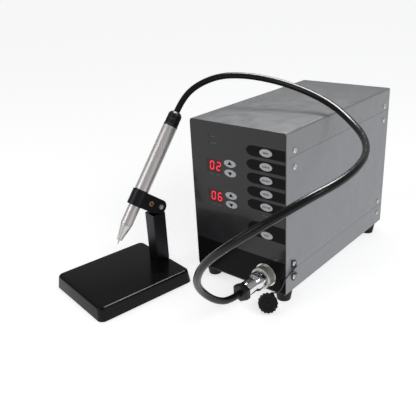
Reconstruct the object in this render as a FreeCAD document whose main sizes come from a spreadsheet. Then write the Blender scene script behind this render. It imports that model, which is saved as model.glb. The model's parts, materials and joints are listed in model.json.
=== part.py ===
import FreeCAD, Part
import math
import os
import Sketcher

# Bench spot welder: a sheet-metal cabinet with a control panel, a welding handpiece held in a
# tilting clamp on its own stand, and the cable between them. Millimetres, +Z up, front towards -Y.

doc = FreeCAD.newDocument("SpotWelder")
sheet = doc.addObject("Spreadsheet::Sheet", "Sizes")
Vec = FreeCAD.Vector
Turn = FreeCAD.Rotation
Place = FreeCAD.Placement
axisX, axisY, axisZ = Vec(1, 0, 0), Vec(0, 1, 0), Vec(0, 0, 1)


class Size:
    """A number that remembers the spreadsheet formula it comes from."""

    def __init__(self, text, number):
        self.text = text
        self.number = number

    def __add__(self, other):
        return combine(self, "+", other)

    def __radd__(self, other):
        return combine(other, "+", self)

    def __sub__(self, other):
        return combine(self, "-", other)

    def __rsub__(self, other):
        return combine(other, "-", self)

    def __mul__(self, other):
        return combine(self, "*", other)

    def __rmul__(self, other):
        return combine(other, "*", self)

    def __truediv__(self, other):
        return combine(self, "/", other)

    def __neg__(self):
        return combine(0.0, "-", self)


def textOf(value):
    return value.text if isinstance(value, Size) else "%.6g" % value


def numberOf(value):
    return value.number if isinstance(value, Size) else float(value)


def combine(left, sign, right):
    a, b = numberOf(left), numberOf(right)
    number = {"+": a + b, "-": a - b, "*": a * b, "/": a / b if b else 0.0}[sign]
    return Size("(%s %s %s)" % (textOf(left), sign, textOf(right)), number)


# ---------------------------------------------------------------- driving dimensions
sizes = {
    # where the cabinet and the stand are in the part's frame
    "cabinetX": 81.8585, "frontY": -74.7095, "footHeight": 20.0,
    "standX": -168.2, "standY": -101.9, "standTurn": -9.7,
    # cabinet
    "cabinetWide": 172.4, "cabinetDeep": 320.0, "cabinetTall": 250.0,
    "sheetThick": 1.2, "edgeRadius": 3.0, "seamGap": 0.4,
    "upperSeam": 213.7, "lowerSeam": 36.6,
    "frameThick": 2.0, "frameDeep": 28.0, "frameGap": 0.1,
    "screwInset": 19.0, "screwSeamStep": 12.5, "screwRadius": 2.0, "screwHeadRadius": 4.0,
    "screwHeadTall": 2.2, "screwLong": 8.0, "screwHoleRadius": 2.2,
    # feet
    "footTopRadius": 14.0, "footBottomRadius": 10.5, "footInsetX": 17.0,
    "footInsetFront": 20.0, "footInsetRear": 17.0, "footRecessRadius": 5.0, "footRecessDeep": 8.0,
    # front panel
    "overlayThick": 0.9, "overlaySet": -1.0, "overlayMargin": 0.2, "overlayCorner": 5.0,
    "plateThick": 1.6, "panelGap": 0.15,
    "keyProud": 0.7, "keyTall": 11.3, "arrowKeyWide": 21.8, "functionKeyWide": 21.0,
    "keyGap": 0.3, "keyTravel": 0.5, "keyFlange": 1.0, "keyFlangeThick": 1.2,
    "arrowKeyX": -11.0, "functionKeyX": 53.2,
    "displayX": -41.7, "displayWide": 28.6, "displayTall": 20.8, "displayDeep": 8.0,
    "upperDisplayZ": 182.7, "lowerDisplayZ": 133.4, "arrowKeyStep": 15.0,
    "lampX": -51.3, "lampRadius": 1.5, "boardThick": 1.6, "boardY": 9.5,
    # connector and plug
    "plugX": 51.5, "plugZ": 26.0, "socketFlangeRadius": 18.5, "socketFlangeThick": 2.0,
    "socketBarrelRadius": 11.9, "socketBodyRadius": 10.5, "socketNutRadius": 15.0,
    "ringRadius": 16.8, "ringLong": 14.0, "ringBore": 12.3, "ringLip": 2.2,
    "shellWideRadius": 14.0, "shellNarrowRadius": 11.4, "shellNeckRadius": 10.8,
    "shellWideLong": 14.0, "shellTaperLong": 6.5, "shellNarrowLong": 19.0, "shellBore": 8.5,
    "glandFlats": 25.4, "glandLong": 10.0,
    # cable, lanyard and dust cap
    "cableRadius": 5.0, "lanyardRadius": 0.9,
    "capRadius": 14.6, "capLong": 12.0, "capWall": 2.0, "capX": 71.5, "capY": -26.1,
    "capHeading": 40.0, "capLean": 20.0, "scallopRadius": 1.7, "capLugRadius": 2.6,
    # stand
    "baseWide": 144.0, "baseDeep": 168.0, "baseThick": 22.0, "baseShift": 2.5, "baseCorner": 9.0,
    "baseRound": 3.0, "padThick": 1.0, "padRadius": 8.0, "padInset": 14.0,
    "postX": 3.0, "postWide": 25.0, "postDeep": 24.0, "postRear": 86.5, "postTall": 85.5,
    "tongueWide": 12.6, "tongueRadius": 8.7, "pivotZ": 98.0, "pivotRadius": 2.5,
    # clamp head, measured from the centre of its ring along the handpiece and towards the post
    "headLean": 36.0, "headWide": 27.3, "headTall": 26.0, "headBore": 9.75,
    "pivotReach": 39.0, "pivotRise": 1.5, "headRearRadius": 11.5, "forkStart": 29.5,
    "forkGap": 13.2, "slitWide": 1.6, "clampReach": 18.8, "headUnderReach": 26.0,
    # handpiece, along its own axis from the centre of the ring
    "barrelRadius": 11.8, "tubeRadius": 9.7, "tubeBore": 6.0, "tubeFoot": -46.3, "tubeTop": 40.0,
    "barrelFoot": 13.2, "barrelJoint": 91.0, "barrelTop": 126.0, "barrelBore": 9.75,
    "nozzleFoot": -73.8, "nozzleSlotReach": 14.0, "nozzleSlotTurn": 0.42, "nozzleSlotTall": 13.0,
    "nozzleFootRadius": 4.4, "nozzleWall": 1.3, "nozzleSpigot": 8.0,
    "electrodeTip": -81.0, "electrodeTop": -36.0, "electrodeRadius": 0.8,
    "glandFoot": 126.0, "glandMiddle": 138.0, "glandTop": 151.4,
    # inside the cabinet
    "coreWide": 96.0, "coreDeep": 50.0, "coreTall": 80.0, "coreY": 200.0, "coreX": -14.0,
    "fanSize": 80.0, "fanDeep": 25.0, "fanX": -30.0, "fanZ": 170.0,
    # rear panel
    "inletX": -45.0, "switchX": 0.0, "powerZ": 46.0, "gasX": 70.0, "gasZ": 74.5,
    "pedalX": 42.0, "pedalZ": 46.0, "pedalRadius": 5.6, "pedalDeep": 9.0,
}

for row, (name, number) in enumerate(sizes.items(), start=1):
    sheet.set("A%d" % row, name)
    sheet.set("B%d" % row, "%.6g" % number)
    sheet.setAlias("B%d" % row, name)
doc.recompute()


class Dims:
    """Every driving dimension as an attribute."""


d = Dims()
for name, number in sizes.items():
    setattr(d, name, Size("Sizes." + name, number))


# ---------------------------------------------------------------- ways of making a piece
parts = []


def bind(obj, path, value):
    obj.setExpression(path, textOf(value))


def moveTo(obj, corner):
    for axis, value in zip("xyz", corner):
        bind(obj, "Placement.Base." + axis, value)


directions = {
    "z": Turn(),
    "-z": Turn(axisX, 180),
    "y": Turn(axisX, -90),
    "-y": Turn(axisX, 90),
    "x": Turn(axisY, 90),
    "-x": Turn(axisY, -90),
}


def box(length, width, height, corner):
    solid = doc.addObject("Part::Box", "block")
    bind(solid, "Length", length)
    bind(solid, "Width", width)
    bind(solid, "Height", height)
    moveTo(solid, corner)
    return solid


def rod(radius, height, start, along="z"):
    solid = doc.addObject("Part::Cylinder", "rod")
    solid.Placement = Place(Vec(), directions[along])
    bind(solid, "Radius", radius)
    bind(solid, "Height", height)
    moveTo(solid, start)
    return solid


def taper(startRadius, endRadius, height, start, along="z"):
    solid = doc.addObject("Part::Cone", "taper")
    solid.Placement = Place(Vec(), directions[along])
    bind(solid, "Radius1", startRadius)
    bind(solid, "Radius2", endRadius)
    bind(solid, "Height", height)
    moveTo(solid, start)
    return solid


def hexagon(flats, height, start, along="z"):
    solid = doc.addObject("Part::Prism", "hexagon")
    solid.Polygon = 6
    solid.Placement = Place(Vec(), directions[along])
    bind(solid, "Circumradius", flats / math.sqrt(3))
    bind(solid, "Height", height)
    moveTo(solid, start)
    return solid


def join(*solids):
    if len(solids) == 1:
        return solids[0]
    joined = doc.addObject("Part::MultiFuse", "joined")
    joined.Shapes = list(solids)
    return joined


def together(*solids):
    group = doc.addObject("Part::Compound", "together")
    group.Links = list(solids)
    return group


def cut(base, *tools):
    result = doc.addObject("Part::Cut", "trimmed")
    result.Base = base
    result.Tool = join(*tools)
    return result


def rounded(base, picks, radius):
    """A fillet on the edges that picks(edge) chooses."""
    doc.recompute()
    result = doc.addObject("Part::Fillet", "rounded")
    result.Base = base
    edges = [n for n, edge in enumerate(base.Shape.Edges, start=1) if picks(edge)]
    result.Edges = [(n, numberOf(radius), numberOf(radius)) for n in edges]
    return result


def sketchOn(body, role, name):
    sketch = body.newObject("Sketcher::SketchObject", name)
    plane = [item for item in body.Origin.OriginFeatures if item.Role == role][0]
    sketch.AttachmentSupport = [(plane, "")]
    sketch.MapMode = "FlatFace"
    return sketch


def pin(sketch, geometry, point, x, y):
    """Holds one point of a sketch at x, y, each bound to its formula."""
    for kind, value in (("DistanceX", x), ("DistanceY", y)):
        number = sketch.addConstraint(
            Sketcher.Constraint(kind, -1, 1, geometry, point, numberOf(value)))
        sketch.setExpression("Constraints[%d]" % number, textOf(value))


def addOutline(sketch, corners):
    """A closed run of straight lines through the corners."""
    first = sketch.GeometryCount
    count = len(corners)
    for n in range(count):
        x1, y1 = corners[n]
        x2, y2 = corners[(n + 1) % count]
        start = Vec(numberOf(x1), numberOf(y1), 0)
        end = Vec(numberOf(x2), numberOf(y2), 0)
        sketch.addGeometry(Part.LineSegment(start, end))
    for n in range(count):
        sketch.addConstraint(
            Sketcher.Constraint("Coincident", first + n, 2, first + (n + 1) % count, 1))
    for n, (x, y) in enumerate(corners):
        pin(sketch, first + n, 1, x, y)


def addCircle(sketch, x, y, radius):
    centre = Vec(numberOf(x), numberOf(y), 0)
    n = sketch.addGeometry(Part.Circle(centre, axisZ, numberOf(radius)))
    pin(sketch, n, 3, x, y)
    number = sketch.addConstraint(Sketcher.Constraint("Radius", n, numberOf(radius)))
    sketch.setExpression("Constraints[%d]" % number, textOf(radius))


def addOval(sketch, x, y, wide, tall):
    """An ellipse lying along the sketch's first axis, held by the ends of its two diameters."""
    centre = Vec(numberOf(x), numberOf(y), 0)
    n = sketch.addGeometry(Part.Ellipse(centre, numberOf(wide) / 2, numberOf(tall) / 2))
    sketch.exposeInternalGeometry(n)
    pin(sketch, n, 3, x, y)
    for geometry, along in ((n + 1, 0), (n + 2, 1)):
        diameter = sketch.Geometry[geometry]
        middle = centre[along]
        point = 1 if diameter.StartPoint[along] > middle else 2
        value = (x + wide / 2) if along == 0 else (y + tall / 2)
        kind = ("DistanceX", "DistanceY")[along]
        number = sketch.addConstraint(
            Sketcher.Constraint(kind, -1, 1, geometry, point, numberOf(value)))
        sketch.setExpression("Constraints[%d]" % number, textOf(value))
    sketch.addConstraint(Sketcher.Constraint("Horizontal", n + 1))


def newBody(name):
    return doc.addObject("PartDesign::Body", name)


def revolved(name, *outlines):
    """A body turned about its own Z axis; each outline is a list of (radius, height)."""
    body = newBody(name)
    sketch = sketchOn(body, "XZ_Plane", name + "Section")
    for outline in outlines:
        addOutline(sketch, outline)
    turn = body.newObject("PartDesign::Revolution", name + "Turn")
    turn.Profile = sketch
    turn.ReferenceAxis = (sketch, ["V_Axis"])
    turn.Angle = 360
    return body


def padded(body, sketch, name, long, reverse=False, middle=False):
    pad = body.newObject("PartDesign::Pad", name)
    pad.Profile = sketch
    bind(pad, "Length", long)
    pad.Reversed = reverse
    pad.Midplane = middle
    return pad


def pocketed(body, sketch, name, middle=True, reverse=False, long=None):
    """A pocket; it must take something away, so the volumes are compared."""
    doc.recompute()
    before = body.Shape.Volume
    pocket = body.newObject("PartDesign::Pocket", name)
    pocket.Profile = sketch
    pocket.Midplane = middle
    pocket.Reversed = reverse
    bind(pocket, "Length", long)
    doc.recompute()
    if body.Shape.Volume > before - 0.01:
        raise RuntimeError(name + " cuts nothing")
    return pocket


def filleted(body, name, picks, radius):
    """A fillet on the body's edges that picks(edge) chooses."""
    doc.recompute()
    base = body.Tip
    edges = ["Edge%d" % n for n, edge in enumerate(base.Shape.Edges, start=1) if picks(edge)]
    fillet = body.newObject("PartDesign::Fillet", name)
    fillet.Base = (base, edges)
    bind(fillet, "Radius", radius)
    return fillet


def frameOf(kind):
    """Where a piece's own frame stands in the part's frame."""
    value = {name: numberOf(getattr(d, name)) for name in sizes}
    cabinet = Place(Vec(value["cabinetX"], value["frontY"], value["footHeight"]), Turn())
    stand = Place(
        Vec(value["cabinetX"] + value["standX"], value["frontY"] + value["standY"], 0),
        Turn(axisZ, value["standTurn"]))
    pivotY = value["postRear"] - value["tongueRadius"]
    pivotZ = value["pivotZ"] + value["padThick"] + value["baseThick"]
    lean = Place(Vec(value["postX"], pivotY, pivotZ), Turn(axisX, -value["headLean"]))
    ring = Place(Vec(0, -value["pivotReach"], -value["pivotRise"]), Turn())
    plug = Place(Vec(value["plugX"], 0, value["plugZ"]), Turn(axisX, 90))
    capTurn = Turn(axisZ, value["capHeading"]) * Turn(axisX, 90 - value["capLean"])
    lean2 = math.radians(value["capLean"])
    capUp = value["capRadius"] * math.cos(lean2) + value["capLong"] / 2 * math.sin(lean2)
    capBase = Vec(value["capX"], value["capY"], capUp - value["footHeight"])
    cap = Place(capBase, capTurn) * Place(Vec(0, 0, -value["capLong"] / 2), Turn())
    frames = {
        "cabinet": cabinet,
        "stand": stand,
        "holder": stand * lean * ring,
        "plug": cabinet * plug,
        "cap": cabinet * cap,
    }
    return frames[kind]


def keep(obj, label, kind="cabinet"):
    """Names a finished piece and stands it in its frame."""
    if obj.TypeId in ("Part::Box", "Part::Cylinder", "Part::Cone", "Part::Prism"):
        obj = together(obj)
    obj.Label = label
    obj.Placement = frameOf(kind)
    if kind == "cabinet":
        bind(obj, "Placement.Base.x", d.cabinetX)
        bind(obj, "Placement.Base.y", d.frontY)
        bind(obj, "Placement.Base.z", d.footHeight)
    parts.append(obj)
    return obj


half = d.cabinetWide / 2

# ---------------------------------------------------------------- cabinet shells
# Each shell has four screws: two a side for the cover and the tray, four for a side panel.
screwRows = [
    d.upperSeam + 8.3,
    d.upperSeam - d.screwSeamStep - 3.2,
    d.lowerSeam + 9.9,
    d.lowerSeam - d.screwSeamStep - 0.6,
]
screwColumns = [d.screwInset + 1.0, d.cabinetDeep - d.screwInset + 1.0]


def sideHoles(rows, radius, side):
    along = "x" if side > 0 else "-x"
    start = half * side - 6.0 * side
    return [rod(radius, 12.0, (start, y, z), along) for y in screwColumns for z in rows]


def bothSides(rows):
    return sideHoles(rows, d.screwHoleRadius, 1) + sideHoles(rows, d.screwHoleRadius, -1)


def lengthwise(edge, x, z):
    """True for the long edge through x, z that runs from front to rear."""
    box_ = edge.BoundBox
    centre = box_.Center
    return (box_.YLength > 100 and abs(abs(centre.x) - numberOf(x)) < 0.05
            and abs(centre.z - numberOf(z)) < 0.05)


def coverShell(low, high, open_):
    """A U-section as long as the cabinet, open towards -Z or +Z, with two rounded edges."""
    outside = box(d.cabinetWide, d.cabinetDeep, high - low, (-half, 0, low))
    outer = high if open_ == "down" else low
    outside = rounded(outside, lambda e: lengthwise(e, half, outer), d.edgeRadius)
    floor = low - 1.0 if open_ == "down" else low + d.sheetThick
    inside = box(d.cabinetWide - d.sheetThick * 2, d.cabinetDeep + 2.0,
                 high - low - d.sheetThick + 1.0, (d.sheetThick - half, -1.0, floor))
    inner = high - d.sheetThick if open_ == "down" else low + d.sheetThick
    inside = rounded(inside, lambda e: lengthwise(e, half - d.sheetThick, inner),
                     d.edgeRadius - d.sheetThick)
    return cut(outside, inside)


topCover = coverShell(d.upperSeam + d.seamGap / 2, d.cabinetTall, "down")
coverHoles = bothSides(screwRows[:1])
keep(cut(topCover, *coverHoles), "top_cover")

footPlaces = [(x * (half - d.footInsetX), y)
              for y in (d.footInsetFront, d.cabinetDeep - d.footInsetRear) for x in (-1, 1)]
tray = coverShell(0.0, d.lowerSeam - d.seamGap / 2, "up")
trayHoles = bothSides(screwRows[3:])
footHoles = [rod(d.screwHoleRadius, 6.0, (x, y, -2.0)) for x, y in footPlaces]
keep(cut(tray, *(trayHoles + footHoles)), "base_tray")

sideTall = d.upperSeam - d.lowerSeam - d.seamGap
for side, label in ((-1, "side_panel_left"), (1, "side_panel_right")):
    corner = -half if side < 0 else half - d.sheetThick
    panel = box(d.sheetThick, d.cabinetDeep, sideTall, (corner, 0, d.lowerSeam + d.seamGap / 2))
    keep(cut(panel, *sideHoles(screwRows[1:3], d.screwHoleRadius, side)), label)

# Two alike inner rings carry the shells, the front plate and the rear panel.
inset = d.sheetThick + d.frameGap
rings = []
for start in (3.2, d.cabinetDeep - d.frameDeep - 2.2):
    ring = box(d.cabinetWide - inset * 2, d.frameDeep, d.cabinetTall - inset * 2,
               (inset - half, start, inset))
    ring = rounded(ring, lambda e: e.BoundBox.YLength > 20, 3.0)
    wall = inset + d.frameThick
    hollow = box(d.cabinetWide - wall * 2, d.frameDeep + 2.0, d.cabinetTall - wall * 2,
                 (wall - half, start - 1.0, wall))
    holes = [rod(d.screwHoleRadius, d.cabinetWide + 4.0, (-half - 2.0, y, z), "x")
             for y in screwColumns for z in screwRows]
    pilots = [rod(d.screwHoleRadius, 8.0, (x, y, -2.0)) for x, y in footPlaces]
    rings.append(cut(ring, hollow, *(holes + pilots)))
keep(together(*rings), "inner_frames")


def shifted(start, along, by):
    """The point moved by a distance along a direction such as -x."""
    sign = -1 if along[0] == "-" else 1
    return tuple(value + by * sign if axis == along[-1] else value
                 for axis, value in zip("xyz", start))


def panScrew(start, along, long):
    """A pan-head screw: its head stands outside the sheet and its shank goes in."""
    back = {"x": "-x", "-x": "x", "y": "-y"}[along]
    rim = rod(d.screwHeadRadius, d.screwHeadTall / 2, start, along)
    crown = taper(d.screwHeadRadius, d.screwHeadRadius * 0.72, d.screwHeadTall / 2,
                  shifted(start, along, d.screwHeadTall / 2), along)
    shank = rod(d.screwRadius, long + 0.5, shifted(start, along, 0.5), back)
    return join(rim, crown, shank)


screws = []
for side, along in ((-1, "-x"), (1, "x")):
    for y in screwColumns:
        for z in screwRows:
            screws.append(panScrew((half * side, y, z), along, d.screwLong))
rearScrewPlaces = [(x * (half - 12.0), z) for z in (14.0, 125.0, 236.0) for x in (-1, 1)]
for x, z in rearScrewPlaces:
    screws.append(panScrew((x, d.cabinetDeep, z), "y", 5.0))
keep(together(*screws), "cover_screws")

# ---------------------------------------------------------------- feet
feet = []
footScrews = []
for x, y in footPlaces:
    foot = taper(d.footBottomRadius, d.footTopRadius, d.footHeight, (x, y, -d.footHeight))
    recess = rod(d.footRecessRadius, d.footRecessDeep, (x, y, -d.footHeight))
    bore = rod(d.screwHoleRadius, d.footHeight + 2.0, (x, y, -d.footHeight - 1.0))
    feet.append(cut(foot, recess, bore))
    headFoot = -d.footHeight + d.footRecessDeep - 2.5
    head = rod(d.screwHeadRadius, 2.5, (x, y, headFoot))
    shank = rod(d.screwRadius, d.footHeight - d.footRecessDeep + 9.0, (x, y, headFoot + 1.0))
    footScrews.append(join(head, shank))
keep(together(*feet), "rubber_feet")
keep(together(*footScrews), "foot_screws")

# ---------------------------------------------------------------- front panel
arrowKeys = {
    "key_upper_raise": (d.arrowKeyX, d.upperDisplayZ + 8.3),
    "key_upper_lower": (d.arrowKeyX, d.upperDisplayZ + 8.3 - d.arrowKeyStep),
    "key_lower_raise": (d.arrowKeyX, d.lowerDisplayZ + 6.8),
    "key_lower_lower": (d.arrowKeyX, d.lowerDisplayZ + 6.8 - d.arrowKeyStep + 0.5),
}
functionHeights = (218.1, 197.8, 177.5, 156.9, 136.8, 91.9)
functionKeys = {"key_function_%d" % (n + 1): (d.functionKeyX, z)
                for n, z in enumerate(functionHeights)}
displayHeights = (d.upperDisplayZ, d.lowerDisplayZ)
lampHeights = (228.0, 218.3)


def keyWide(label):
    return d.arrowKeyWide if label in arrowKeys else d.functionKeyWide


def panelSheet(name, margin):
    """A sheet in the X-Z plane, smaller than the cabinet, with the control panel's openings."""
    body = newBody(name)
    sketch = sketchOn(body, "XZ_Plane", name + "Outline")
    edge, high = half - margin, d.cabinetTall - margin
    addOutline(sketch, [(-edge, margin), (edge, margin), (edge, high), (-edge, high)])
    for label, (x, z) in list(arrowKeys.items()) + list(functionKeys.items()):
        addOval(sketch, x, z, keyWide(label) + d.keyGap * 2, d.keyTall + d.keyGap * 2)
    wide, tall = d.displayWide / 2 + 0.1, d.displayTall / 2 + 0.1
    for z in displayHeights:
        addOutline(sketch, [(d.displayX - wide, z - tall), (d.displayX + wide, z - tall),
                            (d.displayX + wide, z + tall), (d.displayX - wide, z + tall)])
    for z in lampHeights:
        addCircle(sketch, d.lampX, z, d.lampRadius + 0.05)
    addCircle(sketch, d.plugX, d.plugZ, d.socketBodyRadius + 0.05)
    return body, sketch


def outerCorner(edge):
    centre = edge.BoundBox.Center
    return abs(centre.x) > numberOf(half) - 3.0 and edge.BoundBox.YLength > 0.5


overlay, outline = panelSheet("overlay", d.overlayMargin)
padded(overlay, outline, "overlayPad", d.overlayThick, reverse=True)
filleted(overlay, "overlayCorners", outerCorner, d.overlayCorner)
overlay = keep(overlay, "front_overlay")
bind(overlay, "Placement.Base.y", d.frontY + d.overlaySet)

plate, outline = panelSheet("plate", d.sheetThick + d.panelGap)
padded(plate, outline, "platePad", d.plateThick, reverse=True)
filleted(plate, "plateCorners", outerCorner, d.edgeRadius)
keep(plate, "front_plate")

plateBack = d.plateThick
for label, (x, z) in list(arrowKeys.items()) + list(functionKeys.items()):
    body = newBody(label + "Body")
    sketch = sketchOn(body, "XZ_Plane", label + "Face")
    addOval(sketch, 0.0, 0.0, keyWide(label), d.keyTall)
    padded(body, sketch, label + "Cap", plateBack + d.keyProud + 1.0 - d.overlaySet, reverse=True)
    flange = sketchOn(body, "XZ_Plane", label + "FlangeFace")
    flangeStart = plateBack + d.keyProud + 0.3 - d.overlaySet
    bind(flange, "AttachmentOffset.Base.z", -flangeStart)
    addOval(flange, 0.0, 0.0, keyWide(label) + d.keyFlange * 2,
            d.keyTall + d.keyFlange * 2)
    padded(body, flange, label + "Flange", d.keyFlangeThick, reverse=True)
    filleted(body, label + "Edge", lambda e: abs(e.BoundBox.YMax) + abs(e.BoundBox.YMin) < 0.01, 0.4)
    key = keep(body, label)
    bind(key, "Placement.Base.x", d.cabinetX + x)
    bind(key, "Placement.Base.y", d.frontY + d.overlaySet - d.keyProud)
    bind(key, "Placement.Base.z", d.footHeight + z)

modules = [box(d.displayWide, d.displayDeep, d.displayTall,
               (d.displayX - d.displayWide / 2, d.overlaySet + 0.2, z - d.displayTall / 2))
           for z in displayHeights]
keep(together(*modules), "display_modules")

lamps = [rod(d.lampRadius, 5.0, (d.lampX, d.overlaySet - 0.6, z), "y") for z in lampHeights]
keep(together(*lamps), "indicator_lamps")

# The circuit board behind the panel carries one switch body behind each key.
board = [box(d.cabinetWide - 18.0, d.boardThick, 160.0, (9.0 - half, d.boardY, 80.0))]
switchFront = plateBack + 0.3 + d.keyFlangeThick + d.keyTravel + 0.2
for label, (x, z) in list(arrowKeys.items()) + list(functionKeys.items()):
    board.append(box(6.0, d.boardY - switchFront + 0.5, 6.0, (x - 3.0, switchFront, z - 3.0)))
keep(join(*board), "display_board")

# ---------------------------------------------------------------- connector and plug
# Heights run outwards from the panel's face along the plug's axis.
face = -d.overlaySet
socket = revolved("socket", [
    (0.0, -14.0), (d.socketBodyRadius, -14.0), (d.socketBodyRadius, face),
    (d.socketFlangeRadius, face), (d.socketFlangeRadius, face + d.socketFlangeThick),
    (d.socketBarrelRadius, face + d.socketFlangeThick), (d.socketBarrelRadius, 12.5),
    (0.0, 12.5)])
keep(socket, "panel_socket", "plug")
nutStart = -plateBack
nut = cut(hexagon(d.socketNutRadius * math.sqrt(3), 4.0, (0, 0, nutStart - 4.0)),
          rod(d.socketBodyRadius, 8.0, (0, 0, nutStart - 6.0)))
keep(nut, "socket_nut", "plug")

ringStart = face + d.socketFlangeThick + 0.4
ringEnd = ringStart + d.ringLong
coupling = revolved("coupling", [
    (d.ringBore, ringStart), (d.ringRadius - 0.8, ringStart), (d.ringRadius, ringStart + 0.8),
    (d.ringRadius, ringEnd - 1.0), (d.ringRadius - 1.0, ringEnd),
    (d.shellNeckRadius + 0.3, ringEnd), (d.shellNeckRadius + 0.3, ringEnd - d.ringLip),
    (d.ringBore, ringEnd - d.ringLip)])
keep(coupling, "coupling_ring", "plug")

shellStart = ringEnd + 0.4
wideEnd = shellStart + d.shellWideLong
narrowStart = wideEnd + d.shellTaperLong
shellEnd = narrowStart + d.shellNarrowLong
shell = revolved("shell", [
    (0.0, 12.6), (d.shellNeckRadius, 12.6), (d.shellNeckRadius, shellStart),
    (d.shellWideRadius - 0.6, shellStart), (d.shellWideRadius, shellStart + 0.6),
    (d.shellWideRadius, wideEnd), (d.shellNarrowRadius, narrowStart),
    (d.shellNarrowRadius, shellEnd), (d.shellBore, shellEnd), (d.shellBore, shellStart + 3.0),
    (0.0, shellStart + 3.0)])
keep(shell, "plug_shell", "plug")

glandEnd = shellEnd + d.glandLong
glandHex = hexagon(d.glandFlats, d.glandLong, (0, 0, shellEnd))
glandCone = taper(d.glandFlats * 0.62, d.glandFlats * 0.44, d.glandLong, (0, 0, shellEnd))
gland = doc.addObject("Part::MultiCommon", "glandNut")
gland.Shapes = [glandHex, glandCone]
keep(gland, "plug_gland_nut", "plug")

# ---------------------------------------------------------------- stand
baseBody = newBody("baseSlab")
sketch = sketchOn(baseBody, "XY_Plane", "baseOutline")
baseX, baseY = d.baseWide / 2, d.baseDeep / 2
addOutline(sketch, [(-baseX, d.baseShift - baseY), (baseX, d.baseShift - baseY),
                    (baseX, d.baseShift + baseY), (-baseX, d.baseShift + baseY)])
bind(sketch, "AttachmentOffset.Base.z", d.padThick)
padded(baseBody, sketch, "basePad", d.baseThick)
filleted(baseBody, "baseCorners", lambda e: e.BoundBox.ZLength > 5, d.baseCorner)
slabTop = numberOf(d.padThick + d.baseThick)
filleted(baseBody, "baseRim", lambda e: e.BoundBox.ZMin > slabTop - 0.01, d.baseRound)
screwYs = [d.postRear - d.postDeep / 2 + offset for offset in (-6.5, 6.5)]
holes = sketchOn(baseBody, "XY_Plane", "postScrewHoles")
for y in screwYs:
    addCircle(holes, d.postX, y, 2.8)
pocketed(baseBody, holes, "postScrewBores", long=d.baseThick * 3)
recesses = sketchOn(baseBody, "XY_Plane", "postScrewRecesses")
for y in screwYs:
    addCircle(recesses, d.postX, y, 5.0)
pocketed(baseBody, recesses, "postScrewSeats", long=15.0)
keep(baseBody, "stand_base", "stand")

baseTop = d.padThick + d.baseThick
pads = []
for x in (-1, 1):
    for y in (-1, 1):
        place = (x * (baseX - d.padInset), d.baseShift + y * (baseY - d.padInset), 0.0)
        pads.append(rod(d.padRadius, d.padThick, place))
keep(together(*pads), "base_pads", "stand")

pivotY = d.postRear - d.tongueRadius
pivotTop = baseTop + d.pivotZ
post = box(d.postWide, d.postDeep, d.postTall,
           (d.postX - d.postWide / 2, d.postRear - d.postDeep, baseTop))
post = rounded(post, lambda e: e.BoundBox.ZLength > 50, 1.2)
tongue = box(d.tongueWide, d.tongueRadius * 2, d.pivotZ - d.postTall + 8.0,
             (d.postX - d.tongueWide / 2, pivotY - d.tongueRadius, baseTop + d.postTall - 8.0))
knuckle = rod(d.tongueRadius, d.tongueWide, (d.postX - d.tongueWide / 2, pivotY, pivotTop), "x")
pivotHole = rod(d.pivotRadius, 30.0, (d.postX - 15.0, pivotY, pivotTop), "x")
screwHoles = [rod(2.5, 19.0, (d.postX, y, baseTop - 1.0)) for y in screwYs]
keep(cut(join(post, tongue, knuckle), pivotHole, *screwHoles), "stand_post", "stand")

postScrews = []
for y in screwYs:
    head = rod(4.5, 4.5, (d.postX, y, 3.0))
    socketHole = hexagon(4.0, 2.5, (d.postX, y, 2.5))
    postScrews.append(cut(join(head, rod(2.5, baseTop + 8.5, (d.postX, y, 6.0))), socketHole))
keep(together(*postScrews), "post_screws", "stand")

# The pivot screw is fixed in the tongue; the head's two cheeks turn on it.
outside = d.headWide / 2 + 0.15
pivotHead = rod(4.2, 2.4, (d.postX + outside, pivotY, pivotTop), "x")
pivotShank = rod(d.pivotRadius, d.headWide + 4.2, (d.postX - outside - 3.8, pivotY, pivotTop), "x")
pivotNut = hexagon(7.6, 3.4, (d.postX - outside - 3.4, pivotY, pivotTop), "x")
pivotKey = hexagon(3.6, 3.0, (d.postX + outside + 1.0, pivotY, pivotTop), "x")
keep(cut(join(pivotHead, pivotShank, pivotNut), pivotKey), "pivot_screw", "stand")

# ---------------------------------------------------------------- clamp head
# Y runs from the ring towards the pivot, and Z up the handpiece.
headBody = newBody("head")
ringSketch = sketchOn(headBody, "XY_Plane", "ringOutline")
addCircle(ringSketch, 0.0, 0.0, d.headWide / 2)
padded(headBody, ringSketch, "ringPad", d.headTall, middle=True)
armSketch = sketchOn(headBody, "YZ_Plane", "armOutline")
tall = d.headTall / 2
armEnd = d.pivotReach
underX = d.pivotReach + 3.2
underY = d.pivotRise - 11.0
addOutline(armSketch, [(0.0, -tall), (d.headUnderReach, -tall), (underX, underY),
                       (armEnd, tall), (0.0, tall)])
padded(headBody, armSketch, "armPad", d.headWide, middle=True)
roundSketch = sketchOn(headBody, "YZ_Plane", "rearRound")
addCircle(roundSketch, d.pivotReach, d.pivotRise, d.headRearRadius)
padded(headBody, roundSketch, "rearPad", d.headWide, middle=True)
boreSketch = sketchOn(headBody, "XY_Plane", "boreOutline")
addCircle(boreSketch, 0.0, 0.0, d.headBore)
pocketed(headBody, boreSketch, "bore", long=d.headTall + 2.0)
slotSketch = sketchOn(headBody, "XY_Plane", "forkOutline")
reach = d.pivotReach + d.headRearRadius + 2.0
addOutline(slotSketch, [(-d.forkGap / 2, d.forkStart), (d.forkGap / 2, d.forkStart),
                        (d.forkGap / 2, reach), (-d.forkGap / 2, reach)])
pocketed(headBody, slotSketch, "fork", long=d.headTall + 2.0)
slitSketch = sketchOn(headBody, "XY_Plane", "slitOutline")
addOutline(slitSketch, [(-d.slitWide / 2, d.headBore - 2.0), (d.slitWide / 2, d.headBore - 2.0),
                        (d.slitWide / 2, d.forkStart + 1.0), (-d.slitWide / 2, d.forkStart + 1.0)])
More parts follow.
